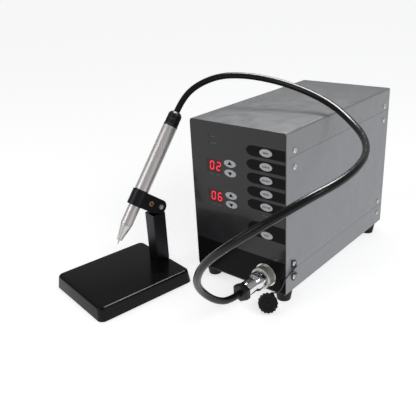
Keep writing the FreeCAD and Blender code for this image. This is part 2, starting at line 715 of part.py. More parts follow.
pocketed(headBody, slitSketch, "slit", long=d.headTall + 2.0)
pinSketch = sketchOn(headBody, "YZ_Plane", "screwBores")
addCircle(pinSketch, d.pivotReach, d.pivotRise, d.pivotRadius + 0.08)
addCircle(pinSketch, d.clampReach, 0.0, 2.6)
pocketed(headBody, pinSketch, "screwHoles", long=d.headWide + 2.0)
seatSketch = sketchOn(headBody, "YZ_Plane", "clampSeat")
bind(seatSketch, "AttachmentOffset.Base.z", d.headWide / 2)
addCircle(seatSketch, d.clampReach, 0.0, 4.9)
pocketed(headBody, seatSketch, "clampSeatCut", middle=False, long=4.0)
keep(headBody, "clamp_head", "holder")

clampTop = d.headWide / 2 + 0.6
clampHead = rod(4.6, 4.4, (clampTop - 4.4, d.clampReach, 0.0), "x")
clampShank = rod(2.5, d.headWide - 1.5, (clampTop - d.headWide - 0.3, d.clampReach, 0.0), "x")
clampKey = hexagon(4.0, 3.0, (clampTop - 2.6, d.clampReach, 0.0), "x")
keep(cut(join(clampHead, clampShank), clampKey), "clamp_screw", "holder")

# ---------------------------------------------------------------- handpiece
keep(revolved("tube", [
    (d.tubeBore, d.tubeFoot), (d.tubeRadius - 0.5, d.tubeFoot), (d.tubeRadius, d.tubeFoot + 0.5),
    (d.tubeRadius, d.tubeTop), (d.tubeBore, d.tubeTop)]), "handpiece_front_tube", "holder")
keep(revolved("barrel", [
    (d.barrelBore, d.barrelFoot), (d.barrelRadius - 1.0, d.barrelFoot),
    (d.barrelRadius, d.barrelFoot + 1.0), (d.barrelRadius, d.barrelJoint - 0.8),
    (d.barrelRadius - 0.5, d.barrelJoint - 0.3), (d.barrelRadius - 0.5, d.barrelJoint),
    (d.barrelBore, d.barrelJoint)]), "handpiece_barrel", "holder")
keep(revolved("sleeve", [
    (d.barrelBore - 1.5, d.barrelJoint), (d.barrelRadius - 0.5, d.barrelJoint),
    (d.barrelRadius, d.barrelJoint + 0.5), (d.barrelRadius, d.barrelTop),
    (d.barrelBore - 1.5, d.barrelTop)]), "handpiece_rear_sleeve", "holder")

nozzleTop = d.tubeFoot - 0.2
spigotTop = nozzleTop + d.nozzleSpigot
nozzleCone = revolved("nozzleCone", [
    (d.nozzleFootRadius - d.nozzleWall, d.nozzleFoot), (d.nozzleFootRadius, d.nozzleFoot),
    (d.nozzleFootRadius + 0.5, d.nozzleFoot + 5.0), (d.tubeRadius - 0.5, nozzleTop - 2.0),
    (d.tubeRadius - 0.3, nozzleTop), (d.tubeBore - 0.08, nozzleTop),
    (d.tubeBore - 0.08, spigotTop), (d.tubeBore - 1.6, spigotTop),
    (d.tubeBore - 1.6, nozzleTop - 4.0)])
slotInNozzle = sketchOn(nozzleCone, "XY_Plane", "nozzleSlot")
bind(slotInNozzle, "AttachmentOffset.Base.z", d.nozzleFoot)
slotAngle = math.radians(25)
addOutline(slotInNozzle, [
    (d.nozzleSlotReach * math.cos(slotAngle + turn), d.nozzleSlotReach * math.sin(slotAngle + turn))
    for turn in (-d.nozzleSlotTurn.number, d.nozzleSlotTurn.number)] + [(0.0, 0.0)])
pocketed(nozzleCone, slotInNozzle, "nozzleSlotCut", long=d.nozzleSlotTall * 2)
keep(nozzleCone, "nozzle", "holder")

colletFoot = d.nozzleFoot + 9.0
keep(revolved("colletBody", [
    (d.electrodeRadius + 0.06, colletFoot), (2.2, colletFoot),
    (2.8, colletFoot + 4.0), (2.8, spigotTop + 1.5),
    (d.tubeBore, spigotTop + 1.5), (d.tubeBore, spigotTop + 7.0),
    (d.electrodeRadius + 0.06, spigotTop + 7.0)]), "collet", "holder")
keep(revolved("needle", [
    (0.0, d.electrodeTip), (0.15, d.electrodeTip),
    (d.electrodeRadius, d.electrodeTip + 3.5), (d.electrodeRadius, d.electrodeTop),
    (0.0, d.electrodeTop)]), "electrode", "holder")

flange = rod(d.barrelRadius + 0.1, 3.0, (0, 0, d.glandFoot))
grip = rod(d.barrelRadius - 0.7, d.glandMiddle - d.glandFoot - 3.0, (0, 0, d.glandFoot + 3.0))
keep(join(flange, grip), "handpiece_gland_body", "holder")
domeStep = (d.glandTop - d.glandMiddle) / 2
lower = taper(d.barrelRadius - 0.9, d.barrelRadius - 2.0, domeStep, (0, 0, d.glandMiddle))
upper = taper(d.barrelRadius - 2.0, d.cableRadius + 1.6, domeStep, (0, 0, d.glandMiddle + domeStep))
keep(join(lower, upper), "handpiece_gland_nut", "holder")

# ---------------------------------------------------------------- inside the cabinet
coreX, coreY = d.coreX - d.coreWide / 2, d.coreY
coreZ = d.sheetThick
window = d.coreWide / 6
core = box(d.coreWide, d.coreDeep, d.coreTall, (coreX, coreY, coreZ))
windows = [box(window, d.coreDeep + 2.0, d.coreTall - window * 2,
               (coreX + window * n, coreY - 1.0, coreZ + window)) for n in (1, 4)]
keep(cut(core, *windows), "transformer_core")
coilGap = 0.5
coilOut = box(window * 4 - coilGap * 2, d.coreDeep + window * 2 - coilGap * 2,
              d.coreTall - window * 2 - coilGap * 2,
              (coreX + window + coilGap, coreY - window + coilGap, coreZ + window + coilGap))
coilOut = rounded(coilOut, lambda e: e.BoundBox.ZLength > 30, 8.0)
coilIn = box(window * 2 + coilGap * 2, d.coreDeep + coilGap * 2, d.coreTall,
             (coreX + window * 2 - coilGap, coreY - coilGap, coreZ))
keep(cut(coilOut, coilIn), "transformer_coil")

boardX = 10.0 - half
mainBoard = [box(1.6, 190.0, 140.0, (boardX, 60.0, 50.0))]
for n in range(3):
    mainBoard.append(box(22.0, 40.0, 30.0, (boardX + 1.0, 70.0 + 55.0 * n, 120.0)))
    mainBoard.append(rod(9.0, 26.0, (boardX + 1.0, 90.0 + 55.0 * n, 102.0), "x"))
keep(join(*mainBoard), "main_board")

cans = [rod(12.0, 46.0, (20.0 + 26.0 * (n % 2), 70.0 + 27.0 * (n // 2), d.sheetThick))
        for n in range(6)]
keep(together(*cans), "storage_capacitors")

valveBlock = box(22.0, 40.0, 24.0, (d.gasX - 18.0, 236.0, d.gasZ - 12.0))
valveCoil = rod(11.0, 30.0, (d.gasX - 7.0, 256.0, d.gasZ + 11.0))
barbs = rod(3.0, 60.0, (d.gasX - 7.0, 226.0, d.gasZ), "y")
keep(join(valveBlock, valveCoil, barbs), "gas_valve")

# ---------------------------------------------------------------- rear panel and what it carries
rearFace = d.cabinetDeep
fanHalf = d.fanSize / 2
rearSheet = box(d.cabinetWide - inset * 2 - 0.2, 2.0, d.cabinetTall - inset * 2 - 0.2,
                (inset + 0.1 - half, rearFace - 2.0, inset + 0.1))
rearSheet = rounded(rearSheet, lambda e: e.BoundBox.YLength > 1.5 and e.BoundBox.ZLength < 0.1
                    and e.BoundBox.XLength < 0.1, 2.6)
openings = []
slotStep, slotTall, grilleRadius = 7.0, 4.0, 36.0
for n in range(-4, 5):
    reach = math.sqrt(grilleRadius ** 2 - (abs(n) * slotStep + slotTall / 2) ** 2)
    for side in (-1, 1):
        start = d.fanX + 2.0 if side > 0 else d.fanX - reach
        openings.append(box(reach - 2.0, 6.0, slotTall,
                            (start, rearFace - 4.0, d.fanZ + n * slotStep - slotTall / 2)))
openings.append(box(28.4, 8.0, 21.0, (d.inletX - 14.2, rearFace - 4.0, d.powerZ - 10.5)))
openings.append(box(21.4, 8.0, 14.4, (d.switchX - 10.7, rearFace - 4.0, d.powerZ - 7.2)))
openings.append(rod(4.6, 8.0, (d.gasX, rearFace - 4.0, d.gasZ), "y"))
openings.append(rod(8.1, 8.0, (d.pedalX, rearFace - 4.0, d.pedalZ), "y"))
for x, z in rearScrewPlaces:
    openings.append(rod(d.screwHoleRadius, 8.0, (x, rearFace - 4.0, z), "y"))
keep(cut(rearSheet, *openings), "rear_panel")

fanY = rearFace - 2.1 - d.fanDeep
fanBlock = box(d.fanSize, d.fanDeep, d.fanSize, (d.fanX - fanHalf, fanY, d.fanZ - fanHalf))
fanTunnel = rod(fanHalf - 2.0, d.fanDeep + 2.0, (d.fanX, fanY - 1.0, d.fanZ), "y")
motor = rod(15.0, 3.0, (d.fanX, fanY, d.fanZ), "y")
spokes = [box(d.fanSize - 2.0, 3.0, 5.0, (d.fanX - fanHalf + 1.0, fanY, d.fanZ - 2.5)),
          box(5.0, 3.0, d.fanSize - 2.0, (d.fanX - 2.5, fanY, d.fanZ - fanHalf + 1.0))]
spindle = rod(1.5, 14.0, (d.fanX, fanY + 1.0, d.fanZ), "y")
keep(join(cut(fanBlock, fanTunnel), motor, spindle, *spokes), "fan_frame")

rotor = newBody("rotor")
hub = sketchOn(rotor, "XY_Plane", "hubOutline")
addCircle(hub, 0.0, 0.0, 16.0)
padded(rotor, hub, "hubPad", 18.0)
bladeSketch = sketchOn(rotor, "XY_Plane", "bladeOutline")
addOutline(bladeSketch, [(14.0, -5.0), (fanHalf - 4.5, -9.0), (fanHalf - 4.5, -6.5), (14.0, -2.5)])
bladePad = padded(rotor, bladeSketch, "bladePad", 16.0)
doc.recompute()
ringOfBlades = rotor.newObject("PartDesign::PolarPattern", "blades")
ringOfBlades.Originals = [bladePad]
ringOfBlades.Axis = (hub, ["N_Axis"])
ringOfBlades.Angle = 360
ringOfBlades.Occurrences = 7
rotor.Tip = ringOfBlades
doc.recompute()
spindleSketch = sketchOn(rotor, "XY_Plane", "spindleBore")
addCircle(spindleSketch, 0.0, 0.0, 1.56)
pocketed(rotor, spindleSketch, "spindleHole", long=26.0)
rotor = keep(rotor, "fan_rotor")
rotor.Placement = Place(Vec(), Turn(axisX, -90))
bind(rotor, "Placement.Base.x", d.cabinetX + d.fanX)
bind(rotor, "Placement.Base.y", d.frontY + fanY + 4.5)
bind(rotor, "Placement.Base.z", d.footHeight + d.fanZ)

# Mains inlet: a flange on the panel and a body behind it with an open cavity and three blades.
inletFlange = box(44.0, 3.0, 26.0, (d.inletX - 22.0, rearFace, d.powerZ - 13.0))
inletBody = box(28.0, 22.0, 20.6, (d.inletX - 14.0, rearFace - 21.0, d.powerZ - 10.3))
cavity = box(24.0, 17.0, 16.6, (d.inletX - 12.0, rearFace - 13.0, d.powerZ - 8.3))
blades = [box(2.0, 12.0, 4.5, (d.inletX + x - 1.0, rearFace - 14.0, d.powerZ + z - 2.25))
          for x, z in ((-7.0, -2.5), (0.0, 3.5), (7.0, -2.5))]
keep(join(cut(join(inletFlange, inletBody), cavity), *blades), "mains_inlet")

# Power switch: its housing is a frame with room for the rocker to tip.
switchFlange = box(25.0, 1.8, 18.0, (d.switchX - 12.5, rearFace, d.powerZ - 9.0))
switchBody = box(21.0, 14.0, 14.0, (d.switchX - 10.5, rearFace - 13.5, d.powerZ - 7.0))
switchWell = box(18.4, 14.0, 12.4, (d.switchX - 9.2, rearFace - 10.0, d.powerZ - 6.2))
switchPin = rod(1.0, 20.0, (d.switchX - 10.0, rearFace - 3.0, d.powerZ), "x")
keep(join(cut(join(switchFlange, switchBody), switchWell), switchPin), "power_switch_housing")

rocker = newBody("rockerBody")
rockerSide = sketchOn(rocker, "YZ_Plane", "rockerSide")
addOutline(rockerSide, [(-2.6, -4.6), (2.0, -4.9), (6.6, -4.4), (4.3, 0.0), (3.8, 4.7),
                        (2.0, 4.9), (-2.6, 4.6)])
padded(rocker, rockerSide, "rockerPad", 17.6, middle=True)
rockerBore = sketchOn(rocker, "YZ_Plane", "rockerBore")
addCircle(rockerBore, 0.0, 0.0, 1.06)
pocketed(rocker, rockerBore, "rockerHole", long=20.0)
rocker = keep(rocker, "power_rocker")
bind(rocker, "Placement.Base.x", d.cabinetX + d.switchX)
bind(rocker, "Placement.Base.y", d.frontY + rearFace - 3.0)
bind(rocker, "Placement.Base.z", d.footHeight + d.powerZ)

gasThread = rod(4.5, 12.0, (d.gasX, rearFace - 10.0, d.gasZ), "y")
gasHex = hexagon(14.0, 6.0, (d.gasX, rearFace, d.gasZ), "y")
gasStem = rod(4.0, 18.0, (d.gasX, rearFace + 5.0, d.gasZ), "y")
gasNut = hexagon(13.0, 3.0, (d.gasX, rearFace - 5.2, d.gasZ), "y")
gasBore = rod(2.2, 40.0, (d.gasX, rearFace - 12.0, d.gasZ), "y")
keep(cut(join(gasThread, gasHex, gasStem, gasNut), gasBore), "gas_inlet_fitting")

pedalFlange = rod(10.0, 2.0, (d.pedalX, rearFace, d.pedalZ), "y")
pedalBody = rod(8.0, 16.0, (d.pedalX, rearFace - 14.0, d.pedalZ), "y")
pedalFloor = rearFace + 2.0 - d.pedalDeep
pedalBore = rod(d.pedalRadius, d.pedalDeep + 2.0, (d.pedalX, pedalFloor, d.pedalZ), "y")
keep(cut(join(pedalFlange, pedalBody), pedalBore), "foot_switch_socket")

# ---------------------------------------------------------------- dust cap
capBody = newBody("cap")
capSketch = sketchOn(capBody, "XY_Plane", "capOutline")
addCircle(capSketch, 0.0, 0.0, d.capRadius)
padded(capBody, capSketch, "capPad", d.capLong)
doc.recompute()
scallop = sketchOn(capBody, "XY_Plane", "scallopOutline")
firstScallop = math.pi / 16
addCircle(scallop, (d.capRadius + 0.6) * math.cos(firstScallop),
          (d.capRadius + 0.6) * math.sin(firstScallop), d.scallopRadius)
scallopCut = pocketed(capBody, scallop, "scallopCut", long=d.capLong * 3)
scallops = capBody.newObject("PartDesign::PolarPattern", "scallops")
scallops.Originals = [scallopCut]
scallops.Axis = (capSketch, ["N_Axis"])
scallops.Angle = 360
scallops.Occurrences = 16
capBody.Tip = scallops
doc.recompute()
hollowSketch = sketchOn(capBody, "XY_Plane", "capHollow")
addCircle(hollowSketch, 0.0, 0.0, d.capRadius - d.capWall - d.scallopRadius + 0.6)
pocketed(capBody, hollowSketch, "capHollowCut", long=(d.capLong - d.capWall) * 2)
# A small lug on the rim takes the end of the lanyard.
lugAngle = math.radians(62)
lugSketch = sketchOn(capBody, "XY_Plane", "capLug")
bind(lugSketch, "AttachmentOffset.Base.z", d.capLong - 8.0)
addCircle(lugSketch, d.capRadius * math.cos(lugAngle) * 1.04,
          d.capRadius * math.sin(lugAngle) * 1.04, d.capLugRadius)
padded(capBody, lugSketch, "capLugPad", 4.0)
keep(capBody, "dust_cap", "cap")

# ---------------------------------------------------------------- cable and lanyard
def cordTube(label, route, radius):
    """A round tube along straight runs joined by tangent arcs, as large as the runs allow."""
    points = [Vec(*p) for p in route]
    arcs = []
    radii = []
    for before, corner, after in zip(points, points[1:], points[2:]):
        back, ahead = before - corner, after - corner
        shorter = min(back.Length, ahead.Length)
        back.normalize()
        ahead.normalize()
        halfTurn = (math.pi - back.getAngle(ahead)) / 2
        reach = 0.45 * shorter
        radii.append(reach / math.tan(halfTurn))
        start, end = corner + back * reach, corner + ahead * reach
        bisector = back + ahead
        bisector.normalize()
        fromCorner = radii[-1] / math.cos(halfTurn)
        middle = corner + bisector * (fromCorner - radii[-1])
        arcs.append((start, middle, end))
    edges = []
    last = points[0]
    for start, middle, end in arcs:
        edges.append(Part.LineSegment(last, start).toShape())
        edges.append(Part.Arc(start, middle, end).toShape())
        last = end
    edges.append(Part.LineSegment(last, points[-1]).toShape())
    path = Part.Wire(edges)
    direction = points[1] - points[0]
    circle = Part.Wire([Part.makeCircle(radius, points[0], direction)])
    tube = path.makePipeShell([circle], True, True)
    ideal = math.pi * radius ** 2 * path.Length
    print("%s: %.1f mm long, volume %.4f of ideal" % (label, path.Length, tube.Volume / ideal))
    print("  radii " + ", ".join("%.0f" % value for value in radii))
    feature = doc.addObject("Part::Feature", label + "Tube")
    feature.Shape = tube
    return feature


def holderPoint(height, x=0.0, y=0.0):
    """A point of the holder's frame, in the cabinet's frame."""
    point = frameOf("holder").multVec(Vec(x, y, height))
    return frameOf("cabinet").inverse().multVec(point)


# Route of the cable from the handpiece's gland over the cabinet's right edge to the plug.
cableStart = holderPoint(numberOf(d.glandTop))
cableNext = holderPoint(numberOf(d.glandTop) + 25.0)
cableEnd = (numberOf(d.plugX), -numberOf(glandEnd), numberOf(d.plugZ))
cableBefore = (numberOf(d.plugX), -numberOf(glandEnd) - 24.0, numberOf(d.plugZ))
cableMiddle = [
    (-127, 67, 284), (-100, 91, 296), (-62, 109, 296.5), (-15, 122, 290), (38, 126, 278),
    (89, 116, 264.5), (134, 90, 250.5), (171, 53, 244), (197, 7, 242), (212, -42, 242),
    (214, -90, 239), (200, -134, 231), (174, -167, 211), (137, -187, 182), (96, -187, 145),
    (68, -173, 106), (52.5, -148.5, 72), (51, -120, 42)]
cableRoute = [tuple(cableStart), tuple(cableNext)] + cableMiddle + [cableBefore, cableEnd]
cable = cordTube("handpiece_cable", cableRoute, numberOf(d.cableRadius))
keep(cable, "handpiece_cable")

# The lanyard is tied round the two lower screws of the right side and runs to the cap's lug.
sideFace = numberOf(half)
knotCentre = (sideFace + 2.5, 13.6, 38.0)
lanyardRoute = [
    (sideFace + 2.6, 11.4, 37.6), (sideFace + 3.2, 3.0, 36.6), (sideFace + 1.8, -4.2, 32.0),
    (sideFace + 0.3, -6.8, 24.0), (sideFace - 2.0, -9.0, 15.4), (sideFace - 7.0, -12.4, 9.2),
    (74.7, -16.0, 9.4)]
lanyard = cordTube("cap_lanyard", lanyardRoute, numberOf(d.lanyardRadius))
keep(lanyard, "cap_lanyard")

loopY, loopRadius = screwColumns[0], d.screwHeadRadius + d.lanyardRadius + 0.2
loopX = half + d.lanyardRadius + 0.1
knotPieces = []
for z in screwRows[2:]:
    loop = doc.addObject("Part::Torus", "loop")
    loop.Placement = Place(Vec(), directions["x"])
    bind(loop, "Radius1", loopRadius)
    bind(loop, "Radius2", d.lanyardRadius)
    moveTo(loop, (loopX, loopY, z))
    knotPieces.append(loop)
strand = rod(d.lanyardRadius, screwRows[2] - screwRows[3], (loopX, loopY - loopRadius, screwRows[3]))
knot = doc.addObject("Part::Sphere", "knot")
bind(knot, "Radius", d.lanyardRadius * 2.6)
moveTo(knot, knotCentre)
keep(join(strand, knot, *knotPieces), "lanyard_knot")

# ---------------------------------------------------------------- check and write
doc.recompute()
for obj in doc.Objects:
    if "Invalid" in obj.State or "Error" in obj.State:
        raise RuntimeError("%s (%s) failed: %s" % (obj.Label, obj.Name, obj.State))

os.makedirs("parts", exist_ok=True)
whole = FreeCAD.BoundBox()
cords = ("handpiece_cable", "cap_lanyard", "lanyard_knot", "dust_cap")
for part in parts:
    shape = part.Shape
    if shape.isNull() or not shape.isValid() or not shape.Solids:
        raise RuntimeError(part.Label + " has no valid solid")
    if part.Label not in cords:
        whole.add(shape.BoundBox)
    shape.exportStep("parts/%s.step" % part.Label)
print("%d pieces" % len(parts))
print("box without the cords, X %.3f to %.3f, Y %.3f to %.3f, Z %.3f to %.3f" % (
    whole.XMin, whole.XMax, whole.YMin, whole.YMax, whole.ZMin, whole.ZMax))
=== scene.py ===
import json
import math
import bpy
from mathutils import Matrix, Vector


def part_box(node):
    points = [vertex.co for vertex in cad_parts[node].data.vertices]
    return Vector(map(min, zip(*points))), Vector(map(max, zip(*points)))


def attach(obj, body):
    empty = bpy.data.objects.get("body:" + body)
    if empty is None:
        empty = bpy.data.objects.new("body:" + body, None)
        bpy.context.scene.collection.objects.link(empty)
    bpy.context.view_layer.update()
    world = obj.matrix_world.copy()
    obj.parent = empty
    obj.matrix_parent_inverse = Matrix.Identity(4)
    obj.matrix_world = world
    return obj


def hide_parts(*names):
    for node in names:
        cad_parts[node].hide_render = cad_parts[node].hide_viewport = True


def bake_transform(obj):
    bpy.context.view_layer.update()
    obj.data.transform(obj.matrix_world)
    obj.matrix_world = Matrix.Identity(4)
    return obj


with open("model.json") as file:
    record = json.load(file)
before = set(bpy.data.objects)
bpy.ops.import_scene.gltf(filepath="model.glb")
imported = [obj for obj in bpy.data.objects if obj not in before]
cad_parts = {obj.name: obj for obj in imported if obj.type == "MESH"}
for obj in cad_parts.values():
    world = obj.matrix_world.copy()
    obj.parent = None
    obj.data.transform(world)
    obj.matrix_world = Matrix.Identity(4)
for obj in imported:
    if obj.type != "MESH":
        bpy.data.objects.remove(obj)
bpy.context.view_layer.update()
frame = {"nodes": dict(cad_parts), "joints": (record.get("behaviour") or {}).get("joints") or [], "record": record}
nodes = frame["nodes"]
joints = {joint["name"]: joint for joint in frame["joints"]}
print("frame loaded")

# where the cabinet, the handpiece and the connector are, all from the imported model;
# the cabinet's own origin is the middle of its tray's lower front edge
trayLow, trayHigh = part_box("base_tray")
cabinet = Matrix.Translation(((trayLow.x + trayHigh.x) / 2, trayLow.y, trayLow.z))
tiltAxis = Vector(joints["holder_tilt"]["axis"]).normalized()
holderUp = -Vector(joints["nozzle_pull"]["axis"]).normalized()
towardPivot = holderUp.cross(tiltAxis).normalized()
ringFromPivot = {"reach": 0.039, "rise": 0.0015}


def frameMatrix(across, along, up, origin):
    turned = Matrix((across, along, up)).transposed().to_4x4()
    return Matrix.Translation(origin) @ turned


pivotPoint = Vector(joints["holder_tilt"]["pos_m"])
ringCentre = pivotPoint - towardPivot * ringFromPivot["reach"]
ringCentre = ringCentre - holderUp * ringFromPivot["rise"]
holder = frameMatrix(tiltAxis, towardPivot, holderUp, ringCentre)
plugPoint = Vector(joints["coupling_ring_spin"]["pos_m"])
plug = Matrix.Translation((plugPoint.x, trayLow.y, plugPoint.z))
plug = plug @ Matrix.Rotation(math.pi / 2, 4, "X")


# camera: angles in degrees, place in metres from the cabinet's own origin
cameraSet = {"azimuth": 42.03, "elevation": 23.66, "roll": -3.39, "lens": 47.64, "sensor": 36.0,
             "near": 0.01, "place": (0.4730, -0.5914, 0.4567)}


def addCamera():
    turns = (cameraSet[key] for key in ("azimuth", "elevation", "roll"))
    azimuth, elevation, roll = (math.radians(turn) for turn in turns)
    back = Vector((math.sin(azimuth) * math.cos(elevation),
                   -math.cos(azimuth) * math.cos(elevation), math.sin(elevation)))
    level = Vector((0, 0, 1)).cross(back).normalized()
    raised = back.cross(level)
    right = level * math.cos(roll) + raised * math.sin(roll)
    up = raised * math.cos(roll) - level * math.sin(roll)
    data = bpy.data.cameras.new("camera")
    data.lens = cameraSet["lens"]
    data.sensor_width = cameraSet["sensor"]
    data.clip_start = cameraSet["near"]
    camera = bpy.data.objects.new("camera", data)
    camera.matrix_world = frameMatrix(right, up, back, cabinet @ Vector(cameraSet["place"]))
    bpy.context.scene.collection.objects.link(camera)
    bpy.context.scene.camera = camera


addCamera()

# studio: a wide pale floor, a dim sky, one broad sun and three soft lamps
skySet = {"colour": (0.97, 0.98, 1.0, 1), "strength": 0.32, "seen": 1.02}
sunSet = {"turn": (66.0, 0.0, 60.0), "strength": 1.2, "angle": 50.0}
lampSet = {
    "side": {"place": (1.3, -0.1, 1.1), "aim": (0.0, 0.0, 0.15), "size": 0.45, "power": 3},
    "front": {"place": (-0.6, -1.5, 1.0), "aim": (-0.1, -0.1, 0.12), "size": 0.9, "power": 5},
    "rim": {"place": (-0.1, 0.35, 1.1), "aim": (-0.02, -0.17, 0.02), "size": 0.6, "power": 26,
            "glossOnly": True},
}
floorSet = {"size": 44.0, "drop": 0.0003}


def clearSelection():
    bpy.ops.object.select_all(action="DESELECT")


def addLamp(name, place, aim, size, power, glossOnly=False):
    bpy.ops.object.light_add(type="AREA", location=place)
    lamp = bpy.context.active_object
    lamp.name = name
    lamp.rotation_euler = (Vector(aim) - Vector(place)).to_track_quat("-Z", "Y").to_euler()
    lamp.data.shape = "DISK"
    lamp.data.size = size
    lamp.data.energy = power
    lamp.visible_camera = False
    lamp.visible_diffuse = not glossOnly


def addStudioLight():
    bpy.ops.object.light_add(type="SUN", rotation=[math.radians(turn) for turn in sunSet["turn"]])
    sun = bpy.context.active_object
    sun.name = "sun"
    sun.data.energy = sunSet["strength"]
    sun.data.angle = math.radians(sunSet["angle"])
    sun.visible_glossy = False
    for lampName, lampValues in lampSet.items():
        addLamp(lampName, **lampValues)
    world = bpy.data.worlds.new("paleSky")
    world.use_nodes = True
    background = world.node_tree.nodes["Background"]
    background.inputs["Color"].default_value = skySet["colour"]
    rays = world.node_tree.nodes.new("ShaderNodeLightPath")
    level = world.node_tree.nodes.new("ShaderNodeMapRange")
    level.inputs["To Min"].default_value = skySet["strength"]
    level.inputs["To Max"].default_value = skySet["seen"]
    world.node_tree.links.new(rays.outputs["Is Camera Ray"], level.inputs["Value"])
    world.node_tree.links.new(level.outputs["Result"], background.inputs["Strength"])
    bpy.context.scene.world = world
    bpy.context.scene.view_settings.view_transform = "Standard"


addStudioLight()
print("camera and lamps")


# ways of making a finish
def newMaterial(name, colour, roughness, metallic=0.0):
    material = bpy.data.materials.new(name)
    material.use_nodes = True
    shader = material.node_tree.nodes["Principled BSDF"]
    shader.inputs["Base Color"].default_value = (*colour, 1)
    shader.inputs["Roughness"].default_value = roughness
    shader.inputs["Metallic"].default_value = metallic
    return material, material.node_tree, shader


def addNode(tree, kind, **values):
    node = tree.nodes.new("ShaderNode" + kind)
    for key, value in values.items():
        if key in node.inputs:
            node.inputs[key].default_value = value
        else:
            setattr(node, key, value)
    return node


def objectSpace(tree, stretch=(1, 1, 1), turned=None, centre=None):
    coordinates = addNode(tree, "TexCoord")
    mapping = addNode(tree, "Mapping", vector_type="POINT")
    mapping.inputs["Scale"].default_value = stretch
    start = coordinates.outputs["Object"]
    if turned is not None:  # first into the piece's own frame, then stretched
        own = addNode(tree, "Mapping", vector_type="TEXTURE")
        own.inputs["Location"].default_value = centre
        own.inputs["Rotation"].default_value = turned
        tree.links.new(start, own.inputs["Vector"])
        start = own.outputs["Vector"]
    tree.links.new(start, mapping.inputs["Vector"])
    return mapping.outputs["Vector"]


def addNoise(tree, vector, scale, detail=3.0, roughness=0.5):
    noise = addNode(tree, "TexNoise", Scale=scale, Detail=detail, Roughness=roughness)
    tree.links.new(vector, noise.inputs["Vector"])
    return noise.outputs["Fac"]


noiseSpan = (0.3, 0.7)  # nearly all of a noise's values fall in here


def spread(tree, value, low, high):
    ranged = addNode(tree, "MapRange")
    ranged.inputs["From Min"].default_value = noiseSpan[0]
    ranged.inputs["From Max"].default_value = noiseSpan[1]
    ranged.inputs["To Min"].default_value = low
    ranged.inputs["To Max"].default_value = high
    tree.links.new(value, ranged.inputs["Value"])
    return ranged.outputs["Result"]


def roughened(tree, shader, value, low, high):
    tree.links.new(spread(tree, value, low, high), shader.inputs["Roughness"])


def shaded(colour, factor):
    return tuple(value * factor for value in colour)


def tinted(tree, shader, value, first, second):
    mix = addNode(tree, "Mix", data_type="RGBA")
    mix.inputs["A"].default_value = (*first, 1)
    mix.inputs["B"].default_value = (*second, 1)
    tree.links.new(value, mix.inputs["Factor"])
    tree.links.new(mix.outputs["Result"], shader.inputs["Base Color"])


def bumped(tree, shader, value, strength, distance):
    bump = addNode(tree, "Bump", Strength=strength, Distance=distance)
    tree.links.new(value, bump.inputs["Height"])
    tree.links.new(bump.outputs["Normal"], shader.inputs["Normal"])


def paintedSteel(name, colour):
    # fine orange peel of powder coat over a faint cloudiness
    material, tree, shader = newMaterial(name, colour, roughness=0.42)
    vector = objectSpace(tree)
    tinted(tree, shader, addNoise(tree, vector, scale=14.0), shaded(colour, 0.9), colour)
    roughened(tree, shader, addNoise(tree, vector, scale=60.0), low=0.36, high=0.47)
    peel = addNoise(tree, vector, scale=1400.0, detail=2.0)
    bumped(tree, shader, peel, strength=0.22, distance=0.0002)
    return material


def glossBlack(name, colour, roughness, dust, coat=0.0, specular=0.3):
    # smooth black with a little dust and handling haze in its gloss
    material, tree, shader = newMaterial(name, colour, roughness)
    shader.inputs["Coat Weight"].default_value = coat
    shader.inputs["Coat Roughness"].default_value = 0.05
    shader.inputs["Specular IOR Level"].default_value = specular
    vector = objectSpace(tree)
    haze = addNoise(tree, vector, scale=28.0, detail=5.0, roughness=0.6)
    roughened(tree, shader, haze, low=roughness, high=roughness + dust)
    tinted(tree, shader, haze, colour, shaded(colour, 1.5))
    specks = addNoise(tree, vector, scale=900.0, detail=2.0)
    bumped(tree, shader, specks, strength=0.04, distance=0.0001)
    return material


def turnedMetal(name, colour, low, high, place, pitch=5200.0):
    # fine lathe rings across the piece's own axis
    material, tree, shader = newMaterial(name, colour, low, metallic=1.0)
    stretch = (0.02, 0.02, 1.0)
    vector = objectSpace(tree, stretch, place.to_euler(), place.translation)
    rings = addNoise(tree, vector, pitch, detail=2.0)
    tinted(tree, shader, rings, shaded(colour, 0.86), colour)
    roughened(tree, shader, rings, low, high)
    bumped(tree, shader, rings, strength=0.12, distance=0.00005)
    return material


def plainMetal(name, colour, low, high, grain=340.0):
    # gloss that varies with handling, over a finer grain
    material, tree, shader = newMaterial(name, colour, low, metallic=1.0)
    vector = objectSpace(tree)
    handled = addNoise(tree, vector, grain, detail=4.0, roughness=0.6)
    roughened(tree, shader, handled, low, high)
    tinted(tree, shader, handled, shaded(colour, 0.9), colour)
    finer = addNoise(tree, vector, grain * 8, detail=2.0)
    bumped(tree, shader, finer, strength=0.05, distance=0.00005)
    return material


def mouldedPlastic(name, colour, low, high, grain=2200.0, depth=0.25, specular=0.5):
    # spark-eroded grain of a moulding
    material, tree, shader = newMaterial(name, colour, low)
    shader.inputs["Specular IOR Level"].default_value = specular
    vector = objectSpace(tree)
    roughened(tree, shader, addNoise(tree, vector, scale=90.0), low, high)
    tinted(tree, shader, addNoise(tree, vector, scale=45.0), shaded(colour, 0.8), colour)
    eroded = addNoise(tree, vector, grain, detail=2.0)
    bumped(tree, shader, eroded, strength=depth, distance=0.0001)
    return material


def circuitBoard(name):
    # green lacquer over a copper pattern
    material, tree, shader = newMaterial(name, (0.02, 0.16, 0.07), roughness=0.35)
    vector = objectSpace(tree)
    tracks = addNode(tree, "TexVoronoi", Scale=260.0, feature="DISTANCE_TO_EDGE")
    tree.links.new(vector, tracks.inputs["Vector"])
    line = spread(tree, tracks.outputs["Distance"], low=0.0, high=1.0)
    tinted(tree, shader, line, (0.01, 0.10, 0.04), (0.03, 0.20, 0.09))
    bumped(tree, shader, line, strength=0.2, distance=0.0001)
    return material


